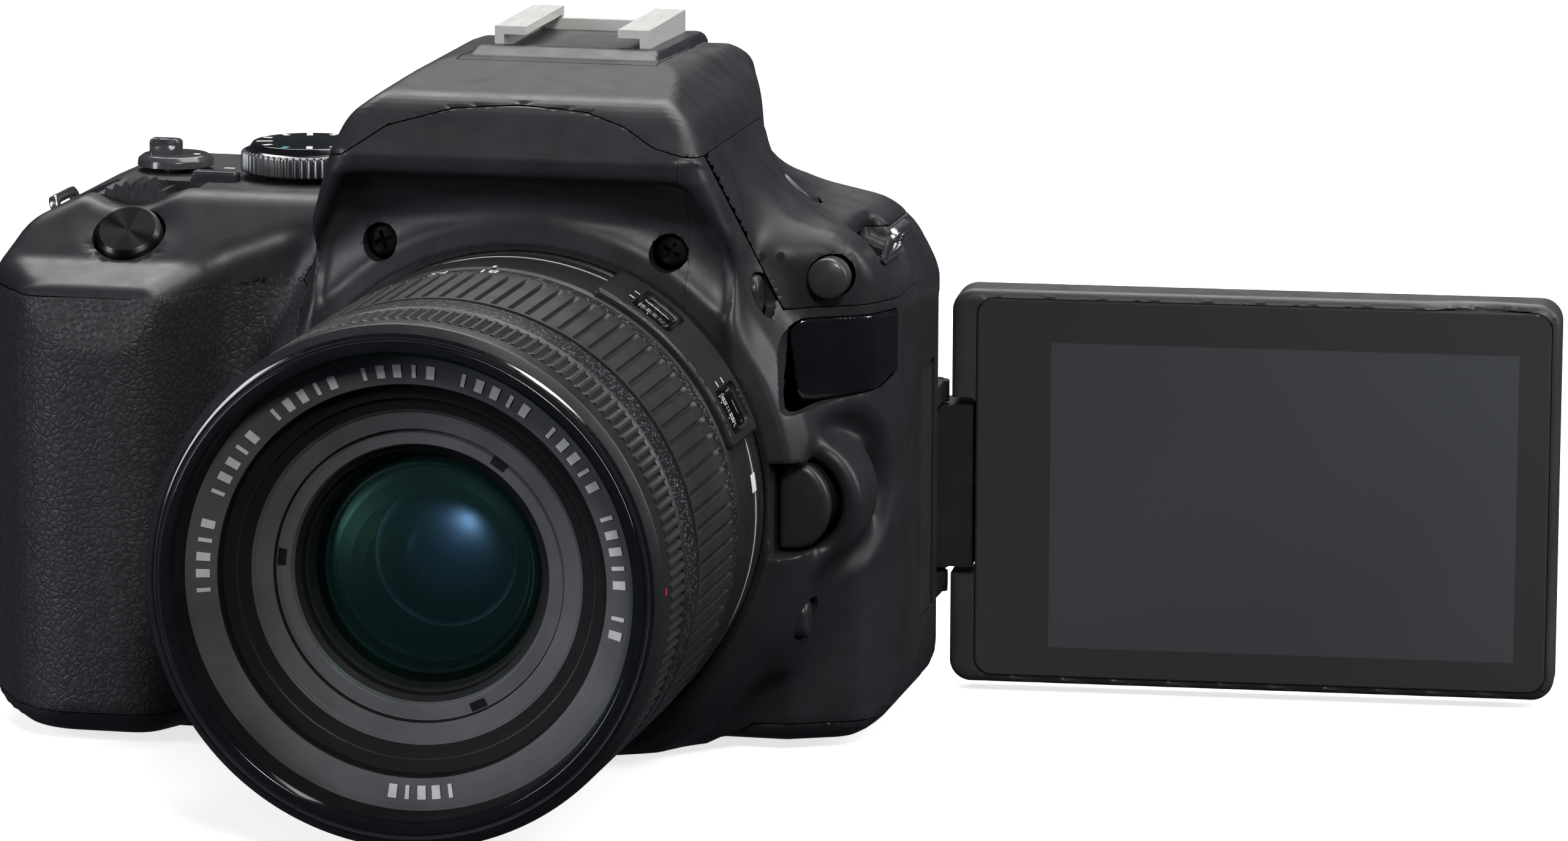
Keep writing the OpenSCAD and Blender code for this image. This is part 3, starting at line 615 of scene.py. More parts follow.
# ---- pieces ----
def finish_mesh(name, verts, faces, kinds=None):
    """Mesh in metres from mm, with its faces turned outwards; kinds gives each face's material."""
    mesh = bpy.data.meshes.new(name)
    mesh.from_pydata([(x * MM, y * MM, z * MM) for x, y, z in verts], [], faces)
    if kinds:
        mesh.polygons.foreach_set("material_index", kinds)
    shape = bmesh.new()
    shape.from_mesh(mesh)
    bmesh.ops.recalc_face_normals(shape, faces=shape.faces)
    shape.to_mesh(mesh)
    shape.free()
    return mesh


def add_piece(name, mesh, materials, body=None, node=None):
    """Shows a mesh. Unless told otherwise it rides on the body of its own name, or on the camera's body where
    there is none, and it stands for the CAD node of its own name if there is one."""
    obj = bpy.data.objects.new(name, mesh)
    bpy.context.scene.collection.objects.link(obj)
    for material in materials:
        mesh.materials.append(material)
    mesh.shade_smooth()
    mesh.set_sharp_from_angle(angle=math.radians(32))
    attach(obj, body or (name if name in frame["bodies"] else "camera_body"))
    node = node or name
    if node in frame["nodes"]:
        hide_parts(node)
    return obj


def add_field(name, field, low, high, h, slot, material, body=None, node=None):
    verts, faces = field_surface(field, low, high, h)
    mesh = bpy.data.meshes.new(name)
    mesh.from_pydata((verts * MM).tolist(), [], faces.tolist())
    return add_piece(name, mesh, [material], body, node)


# ---- outer form of the body ----
PLAN = Outline([(46.2, 24, 4), (46.2, -6, 2), (42.6, -13.6, 6), (33.5, -18, 5), (-34, -18, 7), (-43, -22, 6),
                (-49, -34.8, 8), (-66, -34.8, 12), (-76.4, -18, 15), (-76.4, 10, 12), (-70, 24, 9)])
FRONT = Outline([(46.2, 0, 7.5), (46.2, 58.5, 8), (41, 67.8, 9), (25, 71.2, 6), (-24, 71, 0), (-61, 71, 10),
                 (-71, 66.5, 7), (-76.4, 56, 8), (-76.4, 0, 7)])
SIDE = Outline([(24, 0, 1.5), (24, 70.6, 4), (-13, 70.6, 7), (-23.5, 62.6, 5), (-32.2, 60.2, 3), (-35, 52, 5),
                (-35.2, 0, 6)])
# the finder hump
HUMP_FRONT = Outline([(-31, 50, 0), (-28.6, 70, 5), (-23.6, 84, 7), (-16.5, 89.4, 9), (16.5, 89.4, 9),
                      (23.6, 84, 7), (28.6, 70, 5), (31, 50, 0)])
HUMP_PLAN = Outline([(-28, -45, 0), (28, -45, 0), (29, -8, 12), (18.4, 27, 3), (-18.4, 27, 3), (-29, -8, 12)])
HUMP_SIDE = Outline([(26, 50, 0), (26, 79, 3), (22, 88.3, 4), (-8, 89.4, 12), (-28.6, 86.9, 8),
                     (-34.4, 80.2, 1.6), (-34, 77.2, 1.2), (-31.2, 70, 4), (-29.5, 50, 0)])
# the panel under the nose, set back between two edges
SCOOP_FRONT = Outline([(-22.6, 77.4, 3.5), (22.6, 77.4, 3.5), (27.4, 68, 8), (29.5, 50, 0), (-29.5, 50, 0),
                       (-27.4, 68, 8)])
SCOOP_SIDE = Outline([(-50, 79.4, 0), (-31.4, 77.6, 1.5), (-26.9, 71, 3.5), (-25.6, 50, 0), (-50, 50, 0)])
# half section of the lens mount's boss, as (radius, forward)
BOSS = Outline([(0, 8, 0), (43, 8, 0), (41, 17.5, 6), (38.7, 25.4, 4), (36.3, 28.7, 1.6), (33.6, 29.3, 0.3),
                (32.6, 28.4, 0), (0, 28.4, 0)])
WALL = 1.9             # of the covers
RELEASE_AT = (37, 33.9)
# strap lugs: place, turn about Y in degrees, and the low corner, high corner and softness of the recess
LUGS = (
    ((42.7, 1.5, 62.8), 22, (-5.2, -7.0, 0), (12, 6.6, 20), 1.6),
    ((-72.1, 8, 61.8), -22, (-12, -7.0, 0), (2.6, 7.4, 20), 1.0),
)


def lens_polar(p):
    return np.hypot(p[:, 0], p[:, 2] - AXIS_Z)


def body_field(p):
    return meet(p, PLAN, FRONT, SIDE, 4.5)


def hump_field(p):
    x, y, z = p.T
    form = meet(p, HUMP_PLAN, HUMP_FRONT, HUMP_SIDE, 4.0)
    scoop = soft_max(SCOOP_FRONT(x, z), SCOOP_SIDE(y, z), 1.5)
    return soft_max(form, -scoop, 1.6)


def release_form(p):
    """D-shaped lens release: flat side towards the lens."""
    x, z = p[:, 0] - RELEASE_AT[0], p[:, 2] - RELEASE_AT[1]
    round_side = np.hypot(x + 3.2, z) - 6.6
    return np.maximum(soft_max(round_side, np.maximum(-3.4 - x, np.abs(z) - 5.9), 0.8), -40 - p[:, 1])


def outer_field(p):
    x, y, z = p.T
    # the finder's flank flares widely on the right and meets the mode dial's deck sharply on the left
    flare = 11.0 - 5.0 * np.clip((-y - 8) / 12, 0, 1)
    body = soft_min(body_field(p), hump_field(p), 2.2 + (flare - 2.2) * np.clip((x + 12) / 24, 0, 1))
    form = soft_min(body, np.maximum(BOSS(lens_polar(p), -y), -z), 4.0)
    # ridges that carry the flash and the preview button
    form = soft_min(form, ball_field(p, (24.6, -20.4, 60.6), (3.0, 4.2, 7.0)), 2.5)
    form = soft_min(form, ball_field(p, (32.4, -20.6, 19.4), (3.0, 3.8, 7.6)), 4.5)
    # dished scoop beside the lens release, a ring-shaped bank round it, and the groove that it stands in
    form = soft_max(form, -ball_field(p, (43.4, -18.4, 34.8), (9.6, 9.6, 10.4)), 2.6)
    across = np.hypot(x - 35.2, z - RELEASE_AT[1])
    bank = np.hypot(across - 7.7, np.maximum(np.abs(y + 17.0) - 4.6, 0)) - 1.4
    form = soft_min(form, soft_max(bank, 34.5 - x, 2.5), 2.8)
    form = soft_max(form, -np.maximum(release_form(p) - 0.4, y + 17), 0.5)
    # dish round the shutter button, and the hollow over the main dial
    form = soft_max(form, -ball_field(p, (-56.3, -22.6, 70.6), (9.2, 7.2, 5.6)), 2.5)
    form = soft_max(form, -rod_field(p, (-58, -15.2, 78), (0, 1, 0), 9.9, 5.0), 1.2)
    for place, degrees, low, high, softness in LUGS:
        form = soft_max(form, -box_field(turned_about_y(p, place, degrees), low, high, 1.2), softness)
    return np.maximum(form, -z)


ISLAND_SIDE = Outline([(23, 70, 0), (23, 89.6, 1.5), (-3.4, 90.3, 1.2), (-9.4, 88.5, 0.5), (-9.4, 70, 0)])
# the flash head's parting line, seen from the front: an arch over the nose that dips at both sides
FLASH_ARCH = Outline([(-40, 78.5, 0), (-23, 79.6, 3), (-17.4, 83.4, 6), (-9, 85.6, 12), (0, 86.2, 30),
                      (9, 85.6, 12), (14, 84.2, 6), (18.5, 81.8, 5), (23, 80.8, 5), (40, 79.8, 0),
                      (40, 130, 0), (-40, 130, 0)])
FLASH_HINGE = (9.5, 83.6)
BARREL_R = 6.75        # wide enough for the lid's outside to turn clear of the top cover


def island_field(p):
    """Block under the accessory shoe, which stays put when the flash head rises."""
    x, y, z = p.T
    return soft_max(ISLAND_SIDE(y, z), np.abs(x) - 13.4 + 0.45 * np.maximum(z - 88.4, 0), 0.8)


def island_room(p):
    """Opening in the flash head that the island stands in."""
    return np.maximum(np.abs(p[:, 0]) - 13.6, -9.6 - p[:, 1])


def flash_field(p):
    """Space that belongs to the flash head."""
    x, y, z = p.T
    arch = np.maximum(FLASH_ARCH(x, z), y - FLASH_HINGE[0])
    barrel = np.hypot(y - FLASH_HINGE[0], z - FLASH_HINGE[1]) - BARREL_R
    return cut(np.minimum(arch, barrel), island_room(p))


# ---- how the covers share it ----
GAP = 0.08             # half of the gap between two covers
SPLIT_Y = 6.0          # front cover | rear cover
TOP_Z = 59.0           # front cover | top cover
REAR_TOP_Z = 66.0      # rear cover | top cover
HUMP_SPLIT_Y = -4.0    # the front cover's back edge on the hump
BASE_Z = 3.0           # top of the base cover
BASE_Y = -18.0         # and its front edge
ALWAYS = -99.0         # a field that doesn't cut anything
SKIN_SEEN = Outline([(-90, 3.4, 0), (-34, 3.4, 0), (-30.6, 8, 3), (-30.6, 60, 2.5), (-36, 61.4, 3),
                     (-45, 60.2, 6), (-52, 59.2, 0), (-90, 58.6, 0)])
BADGE = Outline([(34.6, 46.2, 1.2), (44.1, 47.5, 2), (46.6, 50.5, 2), (60, 51.5, 0), (60, 57.6, 0),
                 (33, 57.6, 2.3)])


def front_zone(p):
    """Front cover: below the top cover, and the hump's front up to the flash head and a slanting seam."""
    x, y, z = p.T
    low = np.maximum(y - SPLIT_Y, z - TOP_Z)
    seam = 0.855 * (np.abs(x) - 24.6) + 0.255 * (y + 30.1) + 0.451 * (z - 80.8)
    high = cut(common(seam, y - HUMP_SPLIT_Y, TOP_Z - 1 - z), np.minimum(flash_field(p), island_room(p)))
    return np.maximum(np.minimum(low, high), np.where(y < BASE_Y, ALWAYS, BASE_Z - z))


def rear_zone(p):
    """Rear cover, with the frame of the finder window."""
    x, y, z = p.T
    finder = common(np.abs(x) - 18, 20 - y, 60 - z, z - 81)
    return np.minimum(common(SPLIT_Y - y, z - REAR_TOP_Z, BASE_Z - z), finder)


def skin_zone(p):
    """Where the grip rubber lies."""
    return np.maximum(SKIN_SEEN(p[:, 0], p[:, 2]), p[:, 1] - 5.6)


def badge_zone(p):
    return common(BADGE(p[:, 0], p[:, 2]), p[:, 1] + 7.0, -45 - p[:, 1])


# ---- covers ----
SKIN_T, BADGE_T, BADGE_PROUD = 1.2, 0.8, 0.3
RECESS = ((-42.2, 19.7, -5), (60, 60, 55.8))    # where the display lies when it is folded in
MENU_SPOTS = ((38, 62), (30, 62), (-26, 62), (-50, 10))
KEYS_AT = (-58.5, 27)
SCREW_SPOTS = ((-19.4, 67.3), (19.4, 67.3))
SHUTTER_AT = (-56.3, -19, 65.6)
SHUTTER_TILT = math.radians(40)
SHUTTER_AXIS = (0, -math.sin(SHUTTER_TILT), math.cos(SHUTTER_TILT))
DIAL_AT = (-58, -7.5)
MODE_AT = (-37.9, 5, 71)
SWITCH_AT = (-56.8, 5.2, 71)
ISO_AT = (-48.8, -3, 71)
WIRELESS_AT = (30, 3, 71)
LAMP_AT = (38.5, -17, 63)
SWING_AT = (44, 26.4)


def shell(f):
    """Wall of a cover, from the outer field's value."""
    return np.maximum(f, -f - WALL)


def hole(p, axis, centre, r, low, high):
    """Round hole from low to high along an axis; centre is its place in the other two."""
    u, v = [p[:, k] for k in range(3) if k != axis]
    across = np.hypot(u - centre[0], v - centre[1]) - r
    return np.maximum(across, np.abs(p[:, axis] - (low + high) / 2) - (high - low) / 2)


def oval_slot(p, centre, w, h, low, high):
    """Upright oval hole from low to high along X."""
    tall = round_rect(p[:, 1] - centre[0], p[:, 2] - centre[1], 0, (h - w) / 2, w / 2)
    return common(tall, low - p[:, 0], p[:, 0] - high)


def upright_slot(p, place, half_x, half_y, low, r):
    """Rectangular hole round a place, from low up through the top."""
    x, y = place[:2]
    return box_field(p, (x - half_x, y - half_y, low), (x + half_x, y + half_y, 80), r)


def front_cover(p):
    f = outer_field(p)
    r = lens_polar(p)
    y = p[:, 1]
    mouth = np.minimum(np.maximum(r - 32.58, y + 27.5), np.maximum(r - 31, y + 8))
    under_skin = np.maximum(skin_zone(p) - GAP, -(f + SKIN_T + 0.05))
    under_badge = np.maximum(badge_zone(p) - GAP, -(body_field(p) + BADGE_T + 0.05))
    screws = [hole(p, 1, spot, 2.45, -40, -22) for spot in SCREW_SPOTS]
    return cut(np.maximum(shell(f), front_zone(p) + GAP), mouth, under_skin, under_badge, *screws,
               release_form(p) - 0.35, oval_slot(p, (-21.2, 61), 5.0, 6.2, 20, 32),
               oval_slot(p, (-22, 18.4), 4.6, 5.8, 25, 39))


def top_cover(p):
    f = np.minimum(outer_field(p), island_field(p))
    others = np.minimum(np.minimum(front_zone(p), rear_zone(p)), flash_field(p))
    button = near(p, SHUTTER_AT)
    along = button @ np.array(SHUTTER_AXIS)
    off = np.sqrt(np.maximum((button * button).sum(1) - along ** 2, 0))
    shoe = box_field(p, (-10.8, -1.4, 88.5), (10.8, 21.4, 99))
    return cut(common(shell(f), GAP - others, 40 - p[:, 2]), shoe,
               np.maximum(off - 4.95, -12 - along), np.maximum(off - 5.9, 0.2 - along),
               upright_slot(p, DIAL_AT, 8.8, 2.8, 58, 0.5), upright_slot(p, ISO_AT, 3.5, 1.5, 60, 1.2),
               hole(p, 2, SWITCH_AT, 2.4, 60, 80), hole(p, 2, SWITCH_AT, 5.7, 70.6, 80),
               hole(p, 2, MODE_AT, 2.9, 60, 80), hole(p, 2, MODE_AT, 10.0, 70.35, 80),
               hole(p, 2, WIRELESS_AT, 3.4, 60, 80), hole(p, 1, LAMP_AT[::2], 2.95, -40, 5))


def rear_cover(p):
    f = outer_field(p)
    recess = box_field(p, *RECESS, 0.8)
    wall = np.maximum(f, -np.maximum(f + WALL, 2 - recess))
    eyepiece = box_field(p, (-15, 22.5, 63), (15, 29.6, 80.6), 1.2)
    out = cut(np.minimum(np.maximum(wall, rear_zone(p) + GAP), eyepiece), recess,
              box_field(p, (-9.2, 10, 65.4), (9.2, 40, 77.6), 1),
              box_field(p, (44.4, 7.7, 12.55), (60, 16.8, 47.05), 0.4),
              box_field(p, (30, 10, 16), (60, 15.5, 44)), hole(p, 2, (45.2, 8.8), 0.75, 11, 49),
              hole(p, 1, KEYS_AT, 9.9, 15, 40), box_field(p, (15.1, 22.1, 70.4), (17.5, 29.2, 77.6)),
              *[hole(p, 1, spot, 2.7, 15, 40) for spot in MENU_SPOTS])
    for low in (12.8, 39.2):
        high = low + 2.9
        arm = box_field(p, (SWING_AT[0] - 2.4, 19, low), (SWING_AT[0] + 1.9, SWING_AT[1], high))
        knuckle = np.minimum(hole(p, 2, SWING_AT, 2.4, low, high), arm)
        out = np.minimum(out, cut(knuckle, hole(p, 2, SWING_AT, 1.6, 0, 60)))
    return out


def base_cover(p):
    z = p[:, 2]
    plate = common(body_field(p), z - BASE_Z + 0.1, BASE_Y - p[:, 1], -z)
    return cut(plate, box_field(p, *RECESS), hole(p, 2, (0, 0), 7.65, -1, 5),
               box_field(p, (-67.85, -24.4, -1), (-43.1, 8.4, 5)), hole(p, 1, (-44.7, 1.35), 0.9, -26, 10))


def flash_head(p):
    """Lid over the finder hump, with the lamp's housing under its nose."""
    f = hump_field(p)
    space = flash_field(p)
    block = np.maximum(f + 2.2, box_field(p, (-15, -25.3, 79.5), (15, -11, 92), 0.5))
    housing = np.maximum(block, np.where(space < 0, ALWAYS, f + 3.0))
    lid = np.minimum(np.maximum(shell(f), space + GAP), housing)
    return cut(lid, box_field(p, (-13.1, -24.1, 78), (13.1, -12.9, 81)))


def grip_skin(p):
    f = outer_field(p)
    return common(f, -f - SKIN_T, skin_zone(p) + GAP)


def badge_plate(p):
    f = body_field(p)
    zone = badge_zone(p) + GAP
    return common(soft_max(f - BADGE_PROUD, zone, 0.5), zone, -f - BADGE_T)


# the front cover is meshed in three pieces, finer where it has small controls (from FINE_X on) and where the
# flash head's parting line runs (from FINE_Z up)
FINE_X, FINE_Z = 22.0, 58.0
FRONT_PIECES = (
    ("front_cover", lambda x, z: np.maximum(x - FINE_X, z - FINE_Z), (-78, -37, -1), (23, 8, 60), 0.6),
    ("front_cover_nose", lambda x, z: np.maximum(x - FINE_X, FINE_Z - z), (-36, -37, 57), (23, 8, 92), 0.36),
    ("front_cover_right", lambda x, z: FINE_X - x, (21, -37, -1), (48, 8, 92), 0.34),
)
# name, field, box that holds it, cell size, slot and material
COVERS = (
    ("top_cover", top_cover, (-78, -37, 56), (48, 30, 93), 0.55, "body_plastic", body_black),
    ("rear_cover", rear_cover, (-78, 5, 1), (48, 31, 83), 0.65, "body_plastic", body_black),
    ("base_cover", base_cover, (-78, -20, -1), (48, 26, 4), 0.6, "body_plastic", body_black),
    ("grip_skin", grip_skin, (-78, -37, 2), (-29, 7, 63), 0.6, "grip_rubber", grip_rubber),
    ("badge_plate", badge_plate, (30, -26, 44), (48, -5, 60), 0.3, "gloss_black", gloss_black),
    ("flash_head", flash_head, (-30, -36, 74), (30, 17, 91), 0.36, "body_plastic", body_black),
)
for name, share, low, high, cell in FRONT_PIECES:
    add_field(name, lambda p: np.maximum(front_cover(p), share(p[:, 0], p[:, 2])), low, high, cell,
              "body_plastic", body_black, node="front_cover")
for cover in COVERS:
    add_field(*cover)


# ---- turned and ribbed parts, and marks on them ----
def lens_point(r, forward, angle):
    return r * math.cos(angle), -forward, AXIS_Z + r * math.sin(angle)


def turned_mesh(name, corners, count=192, where=lens_point):
    """Closed profile turned about an axis: corners are (radius, forward, corner radius, material number), and
    the material number can be left out where it is 0."""
    line, kinds = [], []
    for i, corner in enumerate(corners):
        arc = round_corner(corners[i - 1], corner[:3], corners[(i + 1) % len(corners)], 3)
        line += arc
        kinds += [(*corner, 0)[3]] * len(arc)
    verts = [where(r, forward, math.tau * k / count) for k in range(count) for r, forward in line]
    n = len(line)
    faces = [(k * n + i, k * n + (i + 1) % n, (k + 1) % count * n + (i + 1) % n, (k + 1) % count * n + i)
             for k in range(count) for i in range(n)]
    return finish_mesh(name, verts, faces, kinds * count)


def ribbed_mesh(name, count, across, along, r_in):
    """Ring with grooves cut into its outside: across is the groove over one rib, as (share of the rib, share
    of the depth), and along is how it runs out, as (forward, share of the depth)."""
    angles = [(i + a) / count * math.tau for i in range(count) for a, _ in across]
    shares = [share for _ in range(count) for _, share in across]
    n = len(along) + 2
    verts, faces = [], []
    for angle, share in zip(angles, shares):
        verts.append(lens_point(r_in, along[0][0], angle))
        verts += [lens_point(LENS_R - GROOVE_DEPTH * share * deep, forward, angle) for forward, deep in along]
        verts.append(lens_point(r_in, along[-1][0], angle))
    total = len(angles)
    for k in range(total):
        a, b = k * n, (k + 1) % total * n
        faces += [(a + i, a + (i + 1) % n, b + (i + 1) % n, b + i) for i in range(n)]
    return finish_mesh(name, verts, faces)


def on_ring(name, flat, r, angle, forward, body, material):
    """Wraps a flat mark, drawn as (along the ring, across it), onto the barrel at an angle in degrees."""
    points, faces = flat
    turn = math.radians(angle)
    verts = [lens_point(r, forward + v, turn - u / r) for u, v in points]
    add_piece(name, finish_mesh(name, verts, faces), [material], body)


def flat_bar(w, h, parts=6):
    """Flat rectangle w along the ring and h across it, in strips so that it can bend."""
    points = [(w * (i / parts - 0.5), v) for i in range(parts + 1) for v in (-h / 2, h / 2)]
    return points, [(2 * i, 2 * i + 2, 2 * i + 3, 2 * i + 1) for i in range(parts)]


def flat_digits(text, height):
    """Focal-length number as flat polygons, centred."""
    curve = bpy.data.curves.new("number", "FONT")
    curve.body = text
    curve.size = height * 1.4
    curve.align_x = "CENTER"
    curve.resolution_u = 3
    obj = bpy.data.objects.new("number", curve)
    mesh = obj.to_mesh()
    points = [(v.co.x, v.co.y - height / 2) for v in mesh.vertices]
    faces = [tuple(f.vertices) for f in mesh.polygons]
    obj.to_mesh_clear()
    bpy.data.objects.remove(obj)
    return points, faces


def add_sector(name, angle, half, outer, inner, slot, material):
    """Mark on the front of the lens between two circles of (radius, forward), half degrees wide each way."""
    spots = [lens_point(*circle, math.radians(angle + side * half))
             for circle, side in ((outer, -1), (outer, 1), (inner, 1), (inner, -1))]
    add_piece(name, finish_mesh(name, spots, [(0, 1, 2, 3)]), [material], "front_barrel")


# ---- lens ----
LENS_R = 33.25
GROOVE_DEPTH = 0.62
BARREL = (
    (18, 31.6, 0), (31.35, 31.6, 0), (31.35, 30.35, 0), (32.1, 30.35, 0.2), (32.5, 33.8, 0.8), (33.0, 38, 2),
    (33.15, 45.9, 0.3), (32.8, 46.9, 0.2), (31, 46.9, 0), (31, 70.2, 0), (30.2, 70.2, 0), (30.2, 35.4, 0),
    (18, 35.4, 0),
)
BARREL_LINE = ((32.0, 34.0, 0), (32.62, 34.0, 0), (32.65, 34.3, 0), (32.0, 34.3, 0))
ZOOM_RIB = ((0.0, 0), (0.02, 0.55), (0.08, 1), (0.26, 1), (0.32, 0.55), (0.34, 0), (0.5, 0), (0.84, 0))
ZOOM_STATIONS = ((70.7, 0), (70.2, 0), (69.9, 0), (69.7, 0.5), (69.2, 1), (60, 1), (52.4, 1), (51.6, 0.75),
                 (51.0, 0))
ZOOM_BAND = ((31.1, 47.3, 0), (32.95, 47.3, 0.2), (33.12, 47.7, 0.1), (33.12, 50.9, 0.1), (31.1, 50.98, 0))
FOCUS_RIB = ((0.0, 1), (0.38, 0), (0.62, 0))
FOCUS_STATIONS = ((86.1, 0.6), (85.7, 0.35), (84.5, 0.9), (80.2, 1), (79.0, 1), (78.6, 1))
FRONT_BARREL = (
    (29.9, 38, 0), (29.9, 71.4, 0), (33.0, 71.4, 0.3, 1), (33.25, 72.0, 0.2, 1), (33.25, 77.6, 0.2),
    (32.9, 78.35, 0.2), (31.6, 78.4, 0), (31.6, 86.3, 0), (33.0, 86.3, 0.2), (33.25, 86.9, 0.2),
    (33.25, 90.2, 0.5), (32.2, 91.3, 0.2, 2), (31.6, 91.65, 0.15), (31.5, 91.4, 0), (31.2, 91.4, 0, 2),
    (31.0, 91.8, 0.15, 2), (30.0, 91.8, 0.2, 2), (29.4, 91.0, 0.15, 3), (29.0, 87.3, 0, 4),
    (28.2, 87.2, 0.1, 4), (24.9, 86.5, 0.2, 3), (24.7, 84.9, 0.1, 3), (23.0, 84.7, 0.15),
    (22.8, 84.0, 0.1, 3), (21.3, 83.8, 0.1, 4), (20.9, 83.3, 0.1, 4), (18.7, 82.9, 0.1, 3),
    (18.5, 82.2, 0.1, 5), (16.7, 82.2, 0.15, 5), (16.4, 81.2, 0.1, 3), (15.65, 80.9, 0.1, 3),
    (15.6, 74, 0, 3), (26, 74, 0), (28.4, 72, 0), (28.4, 38, 0),
)
# steps inside the lens, as (radius, forward, corner radius, material number); material number 1 is the
# lighter grey of painted glints on the step edges
INNER_STEPS = (
    (15.55, 79.7, 0), (15.1, 79.6, 0.1), (14.6, 77.6, 0.1), (13.5, 77.3, 0.12, 1), (13.2, 76.8, 0.1),
    (13.1, 75.2, 0.1), (12.4, 75.0, 0.12, 1), (12.1, 74.4, 0.1), (11.8, 69.6, 0.1), (9.2, 68.9, 0.12, 1),
    (8.9, 68.3, 0.1), (8.7, 64.0, 0.1), (7.0, 62.6, 0.12, 1), (6.7, 62.0, 0.1), (6.5, 56.0, 0.1),
    (4.7, 55.2, 0.12, 1), (4.4, 54.6, 0.1), (4.2, 50.4, 0.1), (2.9, 49.8, 0.1, 1), (2.7, 49.2, 0),
    (2.7, 46.0, 0), (8.0, 46.0, 0), (15.55, 60.0, 0),
)
# name, radius, forward place of the edge, rise of the crown, and coating
GLASS = (
    ("glass_second", 13.3, 77.0, 1.0, inner_coat),
    ("glass_third", 9.0, 68.6, 3.4, glow_coat),
    ("glass_fourth", 6.8, 61.0, 1.6, inner_coat),
    ("glass_fifth", 2.65, 48.6, 0.9, rear_coat),
)


def dome_mesh(name, r, forward, rise, count=96, rings=14):
    """Spherical cap of radius r whose crown stands rise in front of its edge."""
    ball = (r * r + rise * rise) / (2 * rise)
    verts = [(0, -forward - rise, AXIS_Z)]
    for i in range(1, rings + 1):
        out = r * i / rings
        drop = ball - math.sqrt(ball * ball - out * out)
        verts += [lens_point(out, forward + rise - drop, math.tau * k / count) for k in range(count)]
    faces = [(0, 1 + k, 1 + (k + 1) % count) for k in range(count)]
    for i in range(rings - 1):
        a, b = 1 + i * count, 1 + (i + 1) * count
        faces += [(a + k, b + k, b + (k + 1) % count, a + (k + 1) % count) for k in range(count)]
    return finish_mesh(name, verts, faces)


add_piece("lens_barrel", turned_mesh("lens_barrel", BARREL), [lens_plastic], "lens")
add_piece("barrel_line", turned_mesh("barrel_line", BARREL_LINE), [mark_white], "lens")
add_piece("zoom_ring", ribbed_mesh("zoom_ring", 92, ZOOM_RIB, ZOOM_STATIONS, 31.1),
          [ring_rubber])
add_piece("zoom_band", turned_mesh("zoom_band", ZOOM_BAND), [ring_speckle], "zoom_ring")
add_piece("focus_ring", ribbed_mesh("focus_ring", 148, FOCUS_RIB, FOCUS_STATIONS, 31.7),
          [ring_rubber])
add_piece("front_barrel", turned_mesh("front_barrel", FRONT_BARREL),
          [lens_plastic, ring_speckle, gloss_black, inner_black, name_grey, ring_grey])
for name, r, forward, rise, material in GLASS:
    add_piece(name, dome_mesh(name, r, forward, rise), [material], "front_barrel")
add_piece("inner_steps", turned_mesh("inner_steps", INNER_STEPS, 128),
          [inner_black, painted_ring_glint], "front_barrel")

# plain marks where the name ring would be lettered, in runs of (first angle, last angle, count)
MARK_RUNS = ((187, -14, 44), (283, 263, 5))
MARK_CIRCLES = [(r, 86.62 + (r - 24.9) * 0.21) for r in (27.6, 25.9)]
marks = [(start + (stop - start) * (i + 0.5) / count, i)
         for start, stop, count in MARK_RUNS for i in range(count)]
for number, (angle, i) in enumerate(marks, 1):
    if i % 6 != 5:
        half = 1.15 if i % 3 else 0.55
        add_sector(f"ring_mark_{number:02d}", angle, half, *MARK_CIRCLES, "lens_black", mark_soft)
# notches of the front retaining ring: flat black sectors of painted shade, standing in for the dark inside of
# the notches
for i, angle in enumerate((55, 175, 295)):
    add_sector(f"retainer_notch_{i}", angle, 3.4, (18.4, 82.28), (17.3, 82.28), "black_inner", inner_black)
for text, angle in (("18", 89), ("24", 100.5), ("35", 121), ("45", 138), ("55", 152)):
    on_ring(f"zoom_number_{text}", flat_digits(text, 2.0), 33.16, angle, 49.2, "zoom_ring", mark_white)
on_ring("index_line", flat_bar(0.45, 1.3), 33.2, 89, 45.7, "lens", mark_white)
on_ring("index_square", flat_bar(2.4, 2.4), 33.05, 8, 36.4, "lens", mark_white)
on_ring("red_dot", flat_bar(0.9, 0.9), 33.3, 1.7, 89.6, "front_barrel", mark_red)

# ---- switches on the barrel ----
PANEL_ANGLE = 42.2
MM_PER_DEGREE = math.radians(33)
# name, angle, and the box that holds the knob
SWITCHES = (
    ("focus_switch", 52.7, (15, -45, 55), (27, -36, 68)),
    ("stabiliser_switch", 26, (26, -45, 44), (36, -36, 56)),
)


def unrolled(p, angle):
    """Points as (mm along the ring from an angle, Y, distance from the lens axis)."""
    around = np.degrees(np.arctan2(p[:, 2] - AXIS_Z, p[:, 0]))
    return np.stack([(around - angle) * MM_PER_DEGREE, p[:, 1], lens_polar(p)], 1)


def panel_field(p):
    """Raised panel with a sunk seat for each switch."""
    flat = unrolled(p, PANEL_ANGLE)
    out = box_field(flat, (-13.6, -46.1, 32), (13.6, -32.2, 34.2), 0.6)
    for _, angle, _, _ in SWITCHES:
        u = (angle - PANEL_ANGLE) * MM_PER_DEGREE
        out = cut(out, box_field(flat, (u - 2.9, -44.3, 33.1), (u + 2.9, -34.2, 40), 0.8))
    return out


def switch_field(p, angle):
    """Slider knob: a low block with a ridge and fine ribs across it."""
    flat = unrolled(p, angle)
    y = flat[:, 1]
    low = box_field(flat, (-2.4, -43.5, 33.12), (2.4, -37.5, 34.3), 0.35)
    ridge = box_field(flat, (-2.2, -41.5, 34), (2.2, -39.5, 34.95), 0.3)
    ribs = np.where((y < -41.5) | (y > -39.5), 0.1 * np.cos(y * math.tau / 0.8), 0)
    return np.minimum(low + ribs, ridge)


